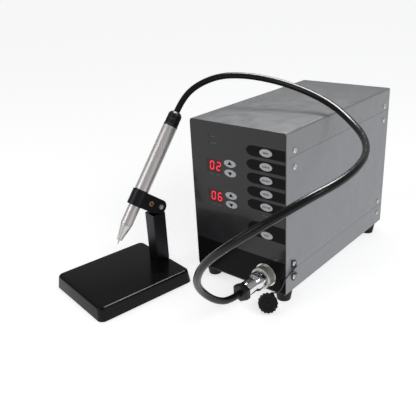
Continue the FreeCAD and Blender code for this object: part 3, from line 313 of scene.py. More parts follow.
def coilWinding(name):
    # turns of enamelled wire round the core's middle limb
    material, tree, shader = newMaterial(name, (0.42, 0.17, 0.06), roughness=0.35, metallic=0.6)
    vector = objectSpace(tree)
    turns = addNode(tree, "TexWave", Scale=300.0, Distortion=0.6, bands_direction="Z")
    tree.links.new(vector, turns.inputs["Vector"])
    tinted(tree, shader, turns.outputs["Fac"], (0.2, 0.07, 0.03), (0.5, 0.22, 0.08))
    bumped(tree, shader, turns.outputs["Fac"], strength=0.5, distance=0.0004)
    return material


def steelStack(name):
    # varnished laminations
    material, tree, shader = newMaterial(name, (0.10, 0.10, 0.11), roughness=0.45, metallic=0.8)
    vector = objectSpace(tree)
    layers = addNode(tree, "TexWave", Scale=320.0, Distortion=0.2, bands_direction="Y")
    tree.links.new(vector, layers.inputs["Vector"])
    tinted(tree, shader, layers.outputs["Fac"], (0.06, 0.06, 0.07), (0.17, 0.17, 0.18))
    bumped(tree, shader, layers.outputs["Fac"], strength=0.4, distance=0.0003)
    return material


def litRed(name, colour, glow, shift=0.01):
    # lit segments, the colour of their glow varying a little from place to place
    material, tree, shader = newMaterial(name, colour, roughness=0.4)
    shader.inputs["Emission Strength"].default_value = glow
    vector = objectSpace(tree)
    flicker = addNoise(tree, vector, scale=900.0)
    mix = addNode(tree, "Mix", data_type="RGBA")
    mix.inputs["A"].default_value = (*colour, 1)
    mix.inputs["B"].default_value = (colour[0], colour[1] + shift, colour[2] + shift, 1)
    tree.links.new(flicker, mix.inputs["Factor"])
    tree.links.new(mix.outputs["Result"], shader.inputs["Emission Color"])
    return material


def paleFloor(name):
    # even white card, lifted a little so that it stays pale far from the lamps
    material, tree, shader = newMaterial(name, (0.80, 0.80, 0.80), roughness=0.7)
    shader.inputs["Specular IOR Level"].default_value = 0.2
    shader.inputs["Emission Color"].default_value = (1, 1, 1, 1)
    shader.inputs["Emission Strength"].default_value = 0.56
    tooth = addNoise(tree, objectSpace(tree), scale=500.0)
    bumped(tree, shader, tooth, strength=0.02, distance=0.0001)
    return material


def braidedCord(name):
    material, tree, shader = newMaterial(name, (0.02, 0.02, 0.02), roughness=0.7)
    vector = objectSpace(tree)
    braid = addNode(tree, "TexVoronoi", Scale=1500.0)
    tree.links.new(vector, braid.inputs["Vector"])
    tinted(tree, shader, braid.outputs["Distance"], (0.012, 0.012, 0.012), (0.05, 0.05, 0.05))
    bumped(tree, shader, braid.outputs["Distance"], strength=0.6, distance=0.0002)
    return material


# each finish by its slot: a name, a colour, then for metals and plastics the lowest and the
# highest roughness, and for gloss blacks the roughness and how much dust adds to it
finish = {
    "painted_steel": paintedSteel("sidePaint", (0.196, 0.203, 0.215)),
    # the top cover takes the sides' paint made a little darker and greyer: painted shade on the top
    "painted_top": paintedSteel("topPaintShaded", (0.190, 0.194, 0.200)),
    "panel_gloss": glossBlack("panelFilm", (0.010, 0.010, 0.011), 0.16, 0.10, coat=0.15),
    "key_grey": mouldedPlastic("keyGrey", (0.36, 0.37, 0.38), 0.34, 0.46,
                               grain=2600.0, depth=0.08),
    "display": glossBlack("displayWindow", (0.022, 0.002, 0.004), 0.10, 0.06),
    "lamp": glossBlack("lampLens", (0.045, 0.008, 0.008), 0.12, 0.08),
    "zinc_steel": plainMetal("zincScrew", (0.70, 0.70, 0.69), 0.22, 0.36),
    "bare_steel": plainMetal("bareSheet", (0.42, 0.43, 0.44), 0.34, 0.5, grain=120.0),
    "rubber_black": mouldedPlastic("mouldedRubber", (0.006, 0.006, 0.0065), 0.46, 0.62,
                                   grain=1300.0, depth=0.3, specular=0.22),
    "chrome": plainMetal("brightChrome", (0.80, 0.80, 0.81), 0.07, 0.14, grain=160.0),
    "satin_nickel": plainMetal("satinNickel", (0.78, 0.76, 0.72), 0.42, 0.55),
    "black_plastic": mouldedPlastic("blackPlastic", (0.006, 0.006, 0.0065), 0.26, 0.40,
                                    depth=0.15, specular=0.36),
    "cable_rubber": mouldedPlastic("cableJacket", (0.004, 0.004, 0.0045), 0.20, 0.30,
                                   grain=1700.0, depth=0.06, specular=0.24),
    "black_enamel": glossBlack("standEnamel", (0.003, 0.003, 0.0032), 0.16, 0.12, specular=0.16),
    "black_anodised": plainMetal("blackAnodised", (0.030, 0.030, 0.034), 0.32, 0.44, grain=500.0),
    "satin_aluminium": turnedMetal("turnedAluminium", (0.74, 0.71, 0.69), 0.34, 0.46, holder),
    "nozzle_aluminium": turnedMetal("paleNozzle", (0.74, 0.73, 0.70), 0.34, 0.48, holder,
                                    pitch=3600.0),
    "brass": plainMetal("turnedBrass", (0.66, 0.50, 0.27), 0.2, 0.34),
    "tungsten": plainMetal("groundTungsten", (0.30, 0.30, 0.32), 0.26, 0.4, grain=900.0),
    "core_steel": steelStack("coreStack"),
    "copper_winding": coilWinding("coilTurns"),
    "circuit_board": circuitBoard("greenBoard"),
    "capacitor": mouldedPlastic("canSleeve", (0.02, 0.03, 0.10), 0.22, 0.3,
                                grain=600.0, depth=0.05),
    "cord": braidedCord("braidedCord"),
    "lit_red": litRed("litSegments", (0.86, 0.008, 0.028), glow=0.95),
    "dim_red": glossBlack("dimSegments", (0.06, 0.006, 0.006), 0.2, 0.1),
    "print_mark": mouldedPlastic("printMark", (0.09, 0.09, 0.095), 0.4, 0.5,
                                 grain=900.0, depth=0.02),
    "print_white": mouldedPlastic("printWhite", (0.80, 0.80, 0.78), 0.4, 0.5,
                                  grain=900.0, depth=0.02),
    # black print, also used as the painted shade of the clamp screw's socket
    "print_and_shade_black": glossBlack("printAndShadeBlack", (0.003, 0.003, 0.0035), 0.20, 0.08, specular=0.07),
    "floor": paleFloor("paleFloor"),
}
for subpart in frame["record"]["subparts"]:
    nodeMesh = nodes[subpart["node"]].data
    nodeMesh.materials.clear()
    nodeMesh.materials.append(finish[subpart["material_slot"]])
print("finishes on %d nodes" % len(nodes))


# ways of making a piece
makerSet = {"weld": 0.000004, "sideTilt": 0.3, "printThick": 0.00006}


def addPrimitive(kind, name, **values):
    clearSelection()
    getattr(bpy.ops.mesh, "primitive_" + kind + "_add")(**values)
    piece = bpy.context.active_object
    piece.name = name
    return piece


def pickFaces(piece, wanted):
    bpy.ops.object.mode_set(mode="EDIT")
    bpy.ops.mesh.select_all(action="DESELECT")
    bpy.ops.mesh.select_mode(type="FACE")
    bpy.ops.object.mode_set(mode="OBJECT")
    for face in piece.data.polygons:
        face.select = wanted(face)
    bpy.ops.object.mode_set(mode="EDIT")


def pickEdges(piece, wanted):
    bpy.ops.object.mode_set(mode="EDIT")
    bpy.ops.mesh.select_all(action="DESELECT")
    bpy.ops.mesh.select_mode(type="EDGE")
    bpy.ops.object.mode_set(mode="OBJECT")
    corners = piece.data.vertices
    for edge in piece.data.edges:
        edge.select = wanted(*[corners[n].co for n in edge.vertices])
    bpy.ops.object.mode_set(mode="EDIT")


def leaveEdit():
    bpy.ops.object.mode_set(mode="OBJECT")


def applyModifier(piece, kind, **values):
    clearSelection()
    piece.select_set(True)
    bpy.context.view_layer.objects.active = piece
    modifier = piece.modifiers.new(kind.lower(), kind)
    for key, value in values.items():
        setattr(modifier, key, value)
    bpy.ops.object.modifier_apply(modifier=modifier.name)


def settle(piece, place, smoothAngle=35.0):
    # moves the finished piece's place into its mesh, so that its object sits at the origin
    clearSelection()
    piece.select_set(True)
    bpy.context.view_layer.objects.active = piece
    piece.matrix_world = place @ piece.matrix_world
    bpy.ops.object.transform_apply(location=True, rotation=True, scale=True)
    if smoothAngle:
        bpy.ops.object.shade_smooth_by_angle(angle=math.radians(smoothAngle))
    return piece


def joinAll(pieces, name):
    clearSelection()
    for piece in pieces:
        piece.select_set(True)
    bpy.context.view_layer.objects.active = pieces[0]
    if len(pieces) > 1:
        bpy.ops.object.join()
    pieces[0].name = name
    return pieces[0]


def copyOf(piece):
    copied = piece.copy()
    copied.data = piece.data.copy()
    bpy.context.scene.collection.objects.link(copied)
    return copied


def finished(piece, slotName, body, *replaced, look=None):
    piece.data.materials.clear()
    piece.data.materials.append(finish[look or slotName])
    if body:
        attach(piece, body)
    if replaced:
        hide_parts(*replaced)
    return piece


def turnedPiece(name, profile, sides=64, closed=False):
    # a ring drawn on and scaled from step to step, as on a lathe; closed for a tube
    radius, height = profile[0]
    clearSelection()
    bpy.ops.mesh.primitive_circle_add(vertices=sides, radius=radius, location=(0, 0, height))
    piece = bpy.context.active_object
    piece.name = name
    bpy.ops.object.transform_apply(location=True, rotation=True, scale=True)
    bpy.ops.object.mode_set(mode="EDIT")
    bpy.ops.mesh.select_mode(type="VERT")
    bpy.ops.mesh.select_all(action="SELECT")
    for nextRadius, nextHeight in profile[1:]:
        rise = (0, 0, nextHeight - height)
        bpy.ops.mesh.extrude_region_move(TRANSFORM_OT_translate={"value": rise})
        ratio = nextRadius / radius
        bpy.ops.transform.resize(value=(ratio, ratio, 1), center_override=(0, 0, nextHeight))
        radius, height = nextRadius, nextHeight
    bpy.ops.mesh.select_all(action="SELECT")
    if closed:
        bpy.ops.mesh.remove_doubles(threshold=makerSet["weld"])
    else:
        bpy.ops.mesh.fill_holes(sides=0)
        bpy.ops.mesh.select_all(action="SELECT")
    bpy.ops.mesh.normals_make_consistent(inside=False)
    leaveEdit()
    return piece


def grooved(piece, low, high, every, thickness, depth):
    # lengthwise grooves in the side faces between two heights
    angleStep = 2 * math.pi / every

    def wanted(face):
        turn = math.atan2(face.center.y, face.center.x) % (2 * math.pi)
        upright = abs(face.normal.z) < makerSet["sideTilt"]
        outward = face.normal.x * face.center.x + face.normal.y * face.center.y > 0
        everySecond = int(turn / angleStep) % 2 == 0
        return upright and outward and low < face.center.z < high and everySecond

    pickFaces(piece, wanted)
    bpy.ops.mesh.inset(thickness=thickness, depth=-depth, use_individual=True)
    leaveEdit()


def flatShape(name, vertices, tall, thick=makerSet["printThick"], turn=0.0):
    # a thin printed disc, hexagon, square or triangle in the X-Y plane
    clearSelection()
    bpy.ops.mesh.primitive_circle_add(vertices=vertices, radius=tall / 2, fill_type="NGON",
                                      rotation=(0, 0, turn))
    piece = bpy.context.active_object
    piece.name = name
    bpy.ops.object.transform_apply(location=True, rotation=True, scale=True)
    pickFaces(piece, lambda face: True)
    bpy.ops.mesh.extrude_region_move(TRANSFORM_OT_translate={"value": (0, 0, thick)})
    bpy.ops.mesh.select_all(action="SELECT")
    bpy.ops.mesh.normals_make_consistent(inside=False)
    leaveEdit()
    return piece


def addFloor():
    floor = addPrimitive("plane", "studioFloor", size=floorSet["size"],
                         location=(0, 0, -floorSet["drop"]))
    floor.data.materials.append(finish["floor"])
    settle(floor, Matrix(), smoothAngle=0)


addFloor()

# cable and lanyard: control points from the cabinet's own origin, in metres
cableSet = {
    "diameter": 0.010, "length": 0.938, "glandTop": 0.1514, "firstRun": 0.025, "lastRun": 0.024,
    "middle": [
        (-0.127, 0.067, 0.284), (-0.100, 0.091, 0.296), (-0.062, 0.109, 0.2965),
        (-0.015, 0.122, 0.290), (0.038, 0.126, 0.278), (0.089, 0.116, 0.2645),
        (0.134, 0.090, 0.2505), (0.171, 0.053, 0.244), (0.197, 0.007, 0.242),
        (0.212, -0.042, 0.242), (0.214, -0.090, 0.239), (0.200, -0.134, 0.231),
        (0.174, -0.167, 0.211), (0.137, -0.187, 0.182), (0.096, -0.187, 0.145),
        (0.068, -0.173, 0.106), (0.0525, -0.1485, 0.072), (0.051, -0.120, 0.042)],
    "bendStart": (0.030, 0.1, 0.28), "bendEnd": (-0.145, 0.1, 0.28), "smooth": 60,
}
lanyardSet = {
    "diameter": 0.0018, "length": 0.048,
    "route": [
        (0.0888, 0.0114, 0.0376), (0.0894, 0.0030, 0.0366), (0.0880, -0.0042, 0.0320),
        (0.0865, -0.0068, 0.0240), (0.0842, -0.0090, 0.0154), (0.0792, -0.0124, 0.0092),
        (0.0747, -0.0160, 0.0094)],
}


def routeCurve(name, points, radius=0.0):
    data = bpy.data.curves.new(name, "CURVE")
    data.dimensions = "3D"
    data.resolution_u = 16
    data.bevel_depth = radius
    data.bevel_resolution = 6
    data.use_fill_caps = True
    spline = data.splines.new("NURBS")
    spline.points.add(len(points) - 1)
    for place, point in zip(points, spline.points):
        point.co = (*place, 1)
    spline.order_u = 3
    spline.use_endpoint_u = True
    curve = bpy.data.objects.new(name, data)
    bpy.context.scene.collection.objects.link(curve)
    return curve


def meshTube(name, points, radius):
    tube = routeCurve(name, points, radius)
    clearSelection()
    tube.select_set(True)
    bpy.context.view_layer.objects.active = tube
    bpy.ops.object.convert(target="MESH")
    return bpy.context.active_object


def lineOf(points):
    # the spline's own line, as points
    guide = routeCurve("guide", points)
    bpy.context.view_layer.update()
    evaluated = guide.evaluated_get(bpy.context.evaluated_depsgraph_get())
    mesh = bpy.data.meshes.new_from_object(evaluated)
    line = [vertex.co.copy() for vertex in mesh.vertices]
    bpy.data.objects.remove(guide)
    bpy.data.meshes.remove(mesh)
    return line


def addCable():
    gland = holder @ Vector((0, 0, cableSet["glandTop"]))
    above = holder @ Vector((0, 0, cableSet["glandTop"] + cableSet["firstRun"]))
    nutFace = Vector((plugPoint.x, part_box("plug_gland_nut")[0].y, plugPoint.z))
    beforeNut = nutFace - Vector((0, cableSet["lastRun"], 0))
    middle = [cabinet @ Vector(point) for point in cableSet["middle"]]
    points = [gland, above] + middle + [beforeNut, nutFace]
    line = lineOf(points)
    cable = meshTube("handpieceCable", points, cableSet["diameter"] / 2)
    bpy.ops.object.shade_smooth_by_angle(angle=math.radians(cableSet["smooth"]))
    finished(cable, "cable_rubber", None, "handpiece_cable")
    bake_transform(cable)


addCable()


def addLanyard():
    points = [cabinet @ Vector(point) for point in lanyardSet["route"]]
    lanyard = routeCurve("capLanyard", points, lanyardSet["diameter"] / 2)
    finished(lanyard, "cord", "root", "cap_lanyard")
    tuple(points[0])


# lashing of the lanyard round the two lower screws: two loops, two strands that cross between
# them, three tails and a knot
lashingSet = {
    "radius": 0.0009, "face": 0.0869, "screwY": 0.020, "screwZ": (0.0235, 0.0465), "loop": 0.0050,
    "strands": [
        [(0.0874, 0.0155, 0.0440), (0.0882, 0.0148, 0.0400), (0.0886, 0.0130, 0.0370),
         (0.0884, 0.0146, 0.0310), (0.0874, 0.0158, 0.0260)],
        [(0.0874, 0.0250, 0.0450), (0.0884, 0.0190, 0.0405), (0.0894, 0.0124, 0.0374),
         (0.0888, 0.0125, 0.0320), (0.0875, 0.0150, 0.0245)],
        [(0.0894, 0.0124, 0.0384), (0.0886, 0.0140, 0.0440), (0.0878, 0.0130, 0.0500),
         (0.0873, 0.0150, 0.0550)],
        [(0.0894, 0.0120, 0.0374), (0.0884, 0.0190, 0.0388), (0.0876, 0.0240, 0.0386),
         (0.0872, 0.0270, 0.0410)],
        [(0.0890, 0.0130, 0.0368), (0.0882, 0.0190, 0.0330), (0.0875, 0.0250, 0.0285),
         (0.0872, 0.0290, 0.0250)]],
    "knot": {"place": (0.0892, 0.0126, 0.0377), "radius": 0.0019, "stretch": (0.8, 1.15, 1.0),
             "turnEvery": 0.0012, "furrow": 0.0005, "inset": 0.00008, "deep": 0.00016},
    "smooth": 60,
}


def addLashing():
    radius, knotSet = lashingSet["radius"], lashingSet["knot"]
    strands = [meshTube("strand", strand, radius) for strand in lashingSet["strands"]]
    for height in lashingSet["screwZ"]:
        loop = addPrimitive("torus", "loop", major_radius=lashingSet["loop"], minor_radius=radius,
                            major_segments=32, minor_segments=8, rotation=(0, math.pi / 2, 0),
                            location=(lashingSet["face"], lashingSet["screwY"], height))
        strands.append(loop)
    knot = addPrimitive("ico_sphere", "knot", subdivisions=3, radius=knotSet["radius"],
                        location=knotSet["place"], scale=knotSet["stretch"])

    def furrowed(face):
        return (face.center.y + face.center.z) % knotSet["turnEvery"] < knotSet["furrow"]

    pickFaces(knot, furrowed)
    bpy.ops.mesh.inset(thickness=knotSet["inset"], depth=-knotSet["deep"])
    leaveEdit()
    strands.append(knot)
    for strand in strands:
        settle(strand, cabinet, lashingSet["smooth"])
    return finished(joinAll(strands, "lanyardLashing"), "cord", "root", "lanyard_knot")


lashing = addLashing()
addLanyard()
print("cable and lanyard")

# seven-segment digits in the two windows
digitSet = {
    "tall": 0.0142, "wide": 0.0082, "stroke": 0.0017, "gap": 0.00035, "slant": 0.10,
    "thick": 0.00008, "places": (-0.0458, -0.0331), "recess": 0.00002,
    "heights": {"upper": 0.1827, "lower": 0.1334}, "shown": {"upper": "02", "lower": "06"},
    "segments": {"0": "abcdef", "2": "abged", "6": "acdefg"},
}
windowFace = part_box("display_modules")[0]
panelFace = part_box("front_overlay")[0]


def onFace(piece, x, front, z):
    # stands a flat piece up on a face that looks forward, x and z from the cabinet's origin
    place = Matrix.Translation((cabinet.translation.x + x, front, cabinet.translation.z + z))
    return settle(piece, place @ Matrix.Rotation(math.pi / 2, 4, "X"), smoothAngle=0)


def onPanel(piece, x, z, lift=0.0):
    return onFace(piece, x, panelFace.y - lift, z)


def segmentBar(along, stroke, gap):
    bar = flatShape("segment", 6, stroke * 2 / math.sqrt(3), digitSet["thick"], math.pi / 6)
    reach = along / 2 - gap - stroke / math.sqrt(3)
    for vertex in bar.data.vertices:
        vertex.co.x += math.copysign(reach, vertex.co.x)
    return bar


def addDigits(level):
    tall, wide, stroke = digitSet["tall"], digitSet["wide"], digitSet["stroke"]
    halfRun = (tall - stroke) / 2
    span = wide - stroke
    layout = {
        "a": (0, halfRun, False), "g": (0, 0, False), "d": (0, -halfRun, False),
        "b": (span / 2, halfRun / 2, True), "c": (span / 2, -halfRun / 2, True),
        "f": (-span / 2, halfRun / 2, True), "e": (-span / 2, -halfRun / 2, True)}
    lit, dim = [], []
    for digit, place in zip(digitSet["shown"][level], digitSet["places"]):
        for key, (x, z, upright) in layout.items():
            bar = segmentBar(halfRun if upright else span, stroke, digitSet["gap"])
            turned = Matrix.Rotation(math.pi / 2 if upright else 0.0, 4, "Z")
            settle(bar, Matrix.Translation((x, z, 0)) @ turned, smoothAngle=0)
            for vertex in bar.data.vertices:
                vertex.co.x += vertex.co.y * digitSet["slant"] + place
            (lit if key in digitSet["segments"][digit] else dim).append(bar)
    windowFront = windowFace.y - digitSet["recess"]
    for bars, name, look in ((lit, "litDigits", "lit_red"), (dim, "dimDigits", "dim_red")):
        if bars:
            piece = joinAll(bars, name + level.capitalize())
            onFace(piece, 0.0, windowFront, digitSet["heights"][level])
            finished(piece, "display", "root", look=look)


for level in digitSet["shown"]:
    addDigits(level)
print("digits")

# printing on the panel: darker bands behind the function keys, a lower field and small plain
# marks, each mark a row of dashes given by its middle and its width
panelSet = {
    "edge": 0.0852, "bandLeft": 0.0195, "bandTall": 0.0156, "lastTall": 0.0250,
    "lastRaise": 0.0062, "bandPoint": 1.5, "keyHole": (0.0108, 0.00595, 0.01),
    "lowerTop": 0.0540, "lowerFoot": 0.0022,
    "plugHole": {"radius": 0.0106, "height": 0.026, "depth": 0.01},
    "marks": [(-0.0410, 0.2278, 0.0085), (-0.0405, 0.2180, 0.0110), (-0.0460, 0.1688, 0.0080),
              (-0.0345, 0.1688, 0.0070), (-0.0460, 0.1192, 0.0080), (-0.0345, 0.1192, 0.0070),
              (0.0530, 0.1225, 0.0130)],
    "markTall": 0.0016, "dashes": 5, "dashGap": 0.3, "dashStretch": 1.4, "dashDrop": 0.35,
    "dashCycle": 3, "markLift": 0.00002,
}


def keyBox(node):
    low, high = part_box(node)
    centre = cabinet.inverted() @ ((low + high) / 2)
    return centre.x, low.y, centre.z


functionKeys = sorted(name for name in nodes if name.startswith("key_function"))
arrowKeys = {"key_upper_raise": 1, "key_upper_lower": -1,
             "key_lower_raise": 1, "key_lower_lower": -1}


def addBand(node, last):
    tall = panelSet["lastTall"] if last else panelSet["bandTall"]
    point = panelSet["bandPoint"]
    keyX, _, keyZ = keyBox(node)
    height = keyZ + (panelSet["lastRaise"] if last else 0.0)
    left = panelSet["bandLeft"] + tall / 2 * point
    band = flatShape("band", 40, tall)
    for vertex in band.data.vertices:  # the left end an ellipse, the right end out to the edge
        outer = vertex.co.x > 0.00001
        vertex.co.x = panelSet["edge"] - left if outer else vertex.co.x * point
    hole = addPrimitive("cylinder", "keyHole", vertices=64, radius=1, depth=1,
                        scale=panelSet["keyHole"], location=(keyX - left, keyZ - height, 0))
    applyModifier(band, "BOOLEAN", object=hole, operation="DIFFERENCE")
    bpy.data.objects.remove(hole)
    return onPanel(band, left, height)


def addLowerField():
    foot, top = panelSet["lowerFoot"], panelSet["lowerTop"]
    plugHole = panelSet["plugHole"]
    field = addPrimitive("plane", "lowerField", size=1)
    field.scale = (panelSet["edge"] * 2, top - foot, 1)
    bpy.ops.object.transform_apply(scale=True)
    pickFaces(field, lambda face: True)
    thick = (0, 0, makerSet["printThick"])
    bpy.ops.mesh.extrude_region_move(TRANSFORM_OT_translate={"value": thick})
    leaveEdit()
    plugX, plugZ = plugPoint.x - cabinet.translation.x, plugHole["height"] - (foot + top) / 2
    cutter = addPrimitive("cylinder", "cutter", radius=plugHole["radius"],
                          depth=plugHole["depth"], location=(plugX, plugZ, 0))
    applyModifier(field, "BOOLEAN", object=cutter, operation="DIFFERENCE")
    bpy.data.objects.remove(cutter)
    return onPanel(field, 0.0, (foot + top) / 2)


def addPanelPrint():
    bands = [addBand(node, node == functionKeys[-1]) for node in functionKeys]
    bands.append(addLowerField())
    finished(joinAll(bands, "panelBands"), "panel_gloss", "root", look="print_and_shade_black")
    dashes = []
    stretch, tall = panelSet["dashStretch"], panelSet["markTall"]
    for x, z, wide in panelSet["marks"]:
        step = wide / panelSet["dashes"]
        for n in range(panelSet["dashes"]):
            dash = flatShape("dash", 4, tall, turn=math.pi / 4)
            drop = panelSet["dashDrop"] * (n % panelSet["dashCycle"])
            dash.scale = (step * (1 - panelSet["dashGap"]) / tall * stretch, stretch - drop, 1)
            offset = (n - panelSet["dashes"] // 2) * step
            dashes.append(onPanel(dash, x + offset, z, panelSet["markLift"]))
    finished(joinAll(dashes, "panelMarks"), "panel_gloss", "root", look="print_mark")


addPanelPrint()

# marks on the keys: arrowheads, and a plain pattern of bars that differs from key to key
keyMarkSet = {"arrow": 0.0088, "arrowScale": (1.15, 0.86, 1), "bar": 0.0014, "barGrow": 0.55,
              "step": 0.0023,
              "patterns": ("2332", "31313", "222222", "13231", "321123", "1331")}


def addKeyMarks():
    for node, sense in arrowKeys.items():
        x, front, z = keyBox(node)
        turn = 0.0 if sense > 0 else math.pi
        arrow = flatShape("arrow_" + node[4:], 3, keyMarkSet["arrow"], turn=turn)
        arrow.scale = keyMarkSet["arrowScale"]
        finished(onFace(arrow, x, front, z), "key_grey", node, look="print_and_shade_black")
    for node, pattern in zip(functionKeys, keyMarkSet["patterns"]):
        x, front, z = keyBox(node)
        bars = []
        for n, size in enumerate(pattern):
            bar = flatShape("bar", 8, keyMarkSet["bar"], turn=math.pi / 8)
            bar.scale = (1, 1 + int(size) * keyMarkSet["barGrow"], 1)
            offset = (n - (len(pattern) - 1) / 2) * keyMarkSet["step"]
            bars.append(onFace(bar, x + offset, front, z))
        finished(joinAll(bars, "mark_" + node[4:]), "key_grey", node, look="print_and_shade_black")


addKeyMarks()
print("panel printing")

# pan-head screws with a cross recess, on the sides and the rear; the profile is in parts of
# the radius and of the head's height
screwSet = {"radius": 0.0040, "tall": 0.0022, "recess": 0.0044, "blade": 0.0009, "deep": 0.0012,
            "stub": (0.5, 0.0010),
            "profile": [(0.5, 0.0), (1.0, 0.0), (1.0, 0.25), (0.96, 0.55), (0.84, 0.8),
                        (0.6, 0.95), (0.2, 1.0)],
            "columns": (0.020, 0.302), "rows": (0.222, 0.198, 0.0465, 0.0235),
            "rearX": 0.0742, "rearY": 0.320, "rearZ": (0.014, 0.125, 0.236),
            "twist": 0.83, "smooth": 40}


def panHead():
    radius, tall = screwSet["radius"], screwSet["tall"]
    stubRatio, stubDeep = screwSet["stub"]
    profile = [(radius * stubRatio, -stubDeep)]
    profile += [(radius * wide, tall * high) for wide, high in screwSet["profile"]]
    head = turnedPiece("panHead", profile, sides=32)
    for turn in (0, math.pi / 2):
        blade = addPrimitive("cube", "blade", size=1, location=(0, 0, tall), rotation=(0, 0, turn),
                             scale=(screwSet["recess"], screwSet["blade"], screwSet["deep"] * 2))
        applyModifier(head, "BOOLEAN", object=blade, operation="DIFFERENCE")
        bpy.data.objects.remove(blade)
    return head


def addScrews():
    master = panHead()
    halfWide = (trayHigh.x - trayLow.x) / 2
    places = []
    for side in (-1, 1):
        outward = Matrix.Rotation(side * math.pi / 2, 4, "Y")
        for y in screwSet["columns"]:
            for z in screwSet["rows"]:
                places.append(Matrix.Translation((side * halfWide, y, z)) @ outward)
    backward = Matrix.Rotation(-math.pi / 2, 4, "X")
    for z in screwSet["rearZ"]:
        for side in (-1, 1):
            spot = Matrix.Translation((side * screwSet["rearX"], screwSet["rearY"], z))
            places.append(spot @ backward)
    screws = []
    for n, place in enumerate(places):
        twisted = cabinet @ place @ Matrix.Rotation(n * screwSet["twist"], 4, "Z")
        screws.append(settle(copyOf(master), twisted, screwSet["smooth"]))
    bpy.data.objects.remove(master)
    finished(joinAll(screws, "coverScrews"), "zinc_steel", "root", "cover_screws")


addScrews()
print("screws")

# connector: knurled coupling ring, chrome shell, hexagon gland nut; heights run out from the panel
connectorSet = {
    "ring": [(0.0123, 0.0021), (0.0158, 0.0021), (0.0168, 0.0030), (0.0168, 0.0150),
             (0.0158, 0.0160), (0.0112, 0.0160), (0.0112, 0.0138), (0.0123, 0.0138),
             (0.0123, 0.0021)],
    "ringSides": 144,
    "knurl": {"low": 0.0032, "high": 0.0148, "inset": 0.00006, "deep": 0.00016},
    "shell": [(0.0107, 0.0126), (0.0107, 0.0165), (0.0136, 0.0165), (0.0140, 0.0170),
              (0.0140, 0.0252), (0.0137, 0.0256), (0.0137, 0.0264), (0.0140, 0.0268),
              (0.0140, 0.0306), (0.0136, 0.0312), (0.0118, 0.0362), (0.0114, 0.0372),
              (0.0114, 0.0555), (0.0111, 0.0560)],
    "dot": {"height": 0.0215, "out": 0.01395, "turn": 62.0, "radius": 0.0012,
            "profile": [(0.8, 0.0), (1.0, 0.0001), (0.9, 0.0002)]},
    "nut": {"flats": 0.0254, "low": 0.0560, "high": 0.0660, "foot": (0.90, 0.0010),
            "top": (0.86, 0.0022), "mouth": (0.0062, 0.0), "bore": (0.0054, 0.0001),
            "bevel": 0.0007, "bevelAngle": 25, "smooth": 30},
}


def addConnector():
    ringFoot = plug.translation.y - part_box("coupling_ring")[1].y
    place = plug @ Matrix.Translation((0, 0, ringFoot - connectorSet["ring"][0][1]))
    knurl, ringSides = connectorSet["knurl"], connectorSet["ringSides"]
    ring = turnedPiece("couplingRing", connectorSet["ring"], ringSides, closed=True)
    grooved(ring, knurl["low"], knurl["high"], ringSides, knurl["inset"], knurl["deep"])
    finished(settle(ring, place), "satin_nickel", "coupling_ring", "coupling_ring")
    shell = turnedPiece("plugShell", connectorSet["shell"], 96)
    finished(settle(shell, place), "chrome", "root", "plug_shell")
    dot = connectorSet["dot"]
    profile = [(dot["radius"] * wide, high) for wide, high in dot["profile"]]
    mark = turnedPiece("plugDot", profile, 24)
    around = Matrix.Rotation(math.radians(dot["turn"]), 4, "Z")
    around = around @ Matrix.Translation((dot["out"], 0, dot["height"]))
    settle(mark, place @ around @ Matrix.Rotation(math.pi / 2, 4, "Y"))
    finished(mark, "chrome", "root", look="print_white")
    nut = connectorSet["nut"]
    across, low, high = nut["flats"] / math.sqrt(3), nut["low"], nut["high"]
    hexNut = turnedPiece("glandHexagon", [
        (across * nut["foot"][0], low), (across, low + nut["foot"][1]),
        (across, high - nut["top"][1]), (across * nut["top"][0], high),
        (nut["mouth"][0], high + nut["mouth"][1]), (nut["bore"][0], high + nut["bore"][1])], 6)
    applyModifier(hexNut, "BEVEL", width=nut["bevel"], segments=3, limit_method="ANGLE",
                  angle_limit=math.radians(nut["bevelAngle"]))
    finished(settle(hexNut, place, nut["smooth"]), "black_plastic", "root", "plug_gland_nut")


addConnector()
print("connector")

# handpiece gland: a ribbed grip and a fluted nut with a domed top, along the handpiece's axis
glandSet = {
    "grip": [(0.0080, 0.1260), (0.0117, 0.1260), (0.0119, 0.1264), (0.0119, 0.1286),
             (0.0112, 0.1292), (0.0113, 0.1296), (0.0113, 0.1376), (0.0109, 0.1380)],
    "gripSides": 72,
    "rib": {"low": 0.1296, "high": 0.1376, "inset": 0.00008, "deep": 0.0005},
    "dome": [(0.0106, 0.1380), (0.0112, 0.1386), (0.0112, 0.1450), (0.0110, 0.1462),
             (0.0104, 0.1476), (0.0094, 0.1490), (0.0082, 0.1501), (0.0070, 0.1509),
             (0.0060, 0.1513), (0.0053, 0.1514)],
    "domeSides": 64, "flutes": 16,
    "flute": {"low": 0.1390, "high": 0.1448, "inset": 0.0002, "deep": 0.0005}, "smooth": 50,
}


def addHandpieceGland():
    rib, flute = glandSet["rib"], glandSet["flute"]
    grip = turnedPiece("glandGrip", glandSet["grip"], glandSet["gripSides"])
    grooved(grip, rib["low"], rib["high"], glandSet["gripSides"], rib["inset"], rib["deep"])
    finished(settle(grip, holder), "black_plastic", "holder", "handpiece_gland_body")
    dome = turnedPiece("glandDome", glandSet["dome"], glandSet["domeSides"])
    grooved(dome, flute["low"], flute["high"], glandSet["flutes"] * 2, flute["inset"],
            flute["deep"])
    settle(dome, holder, glandSet["smooth"])
    finished(dome, "black_plastic", "holder", "handpiece_gland_nut")


addHandpieceGland()
print("handpiece gland")

# stand base: a heavy slab whose sides flare down to the floor, with a round rim
standSet = {"pivot": (0.003, 0.0778, 0.121), "shift": 0.0025, "low": 0.001, "thick": 0.022,
            "top": (0.144, 0.168), "flare": 0.0028, "corner": 0.010, "rim": 0.0036, "smooth": 30}
upward = Vector((0, 0, 1))
stand = frameMatrix(tiltAxis, upward.cross(tiltAxis), upward, pivotPoint)
stand = stand @ Matrix.Translation([-value for value in standSet["pivot"]])


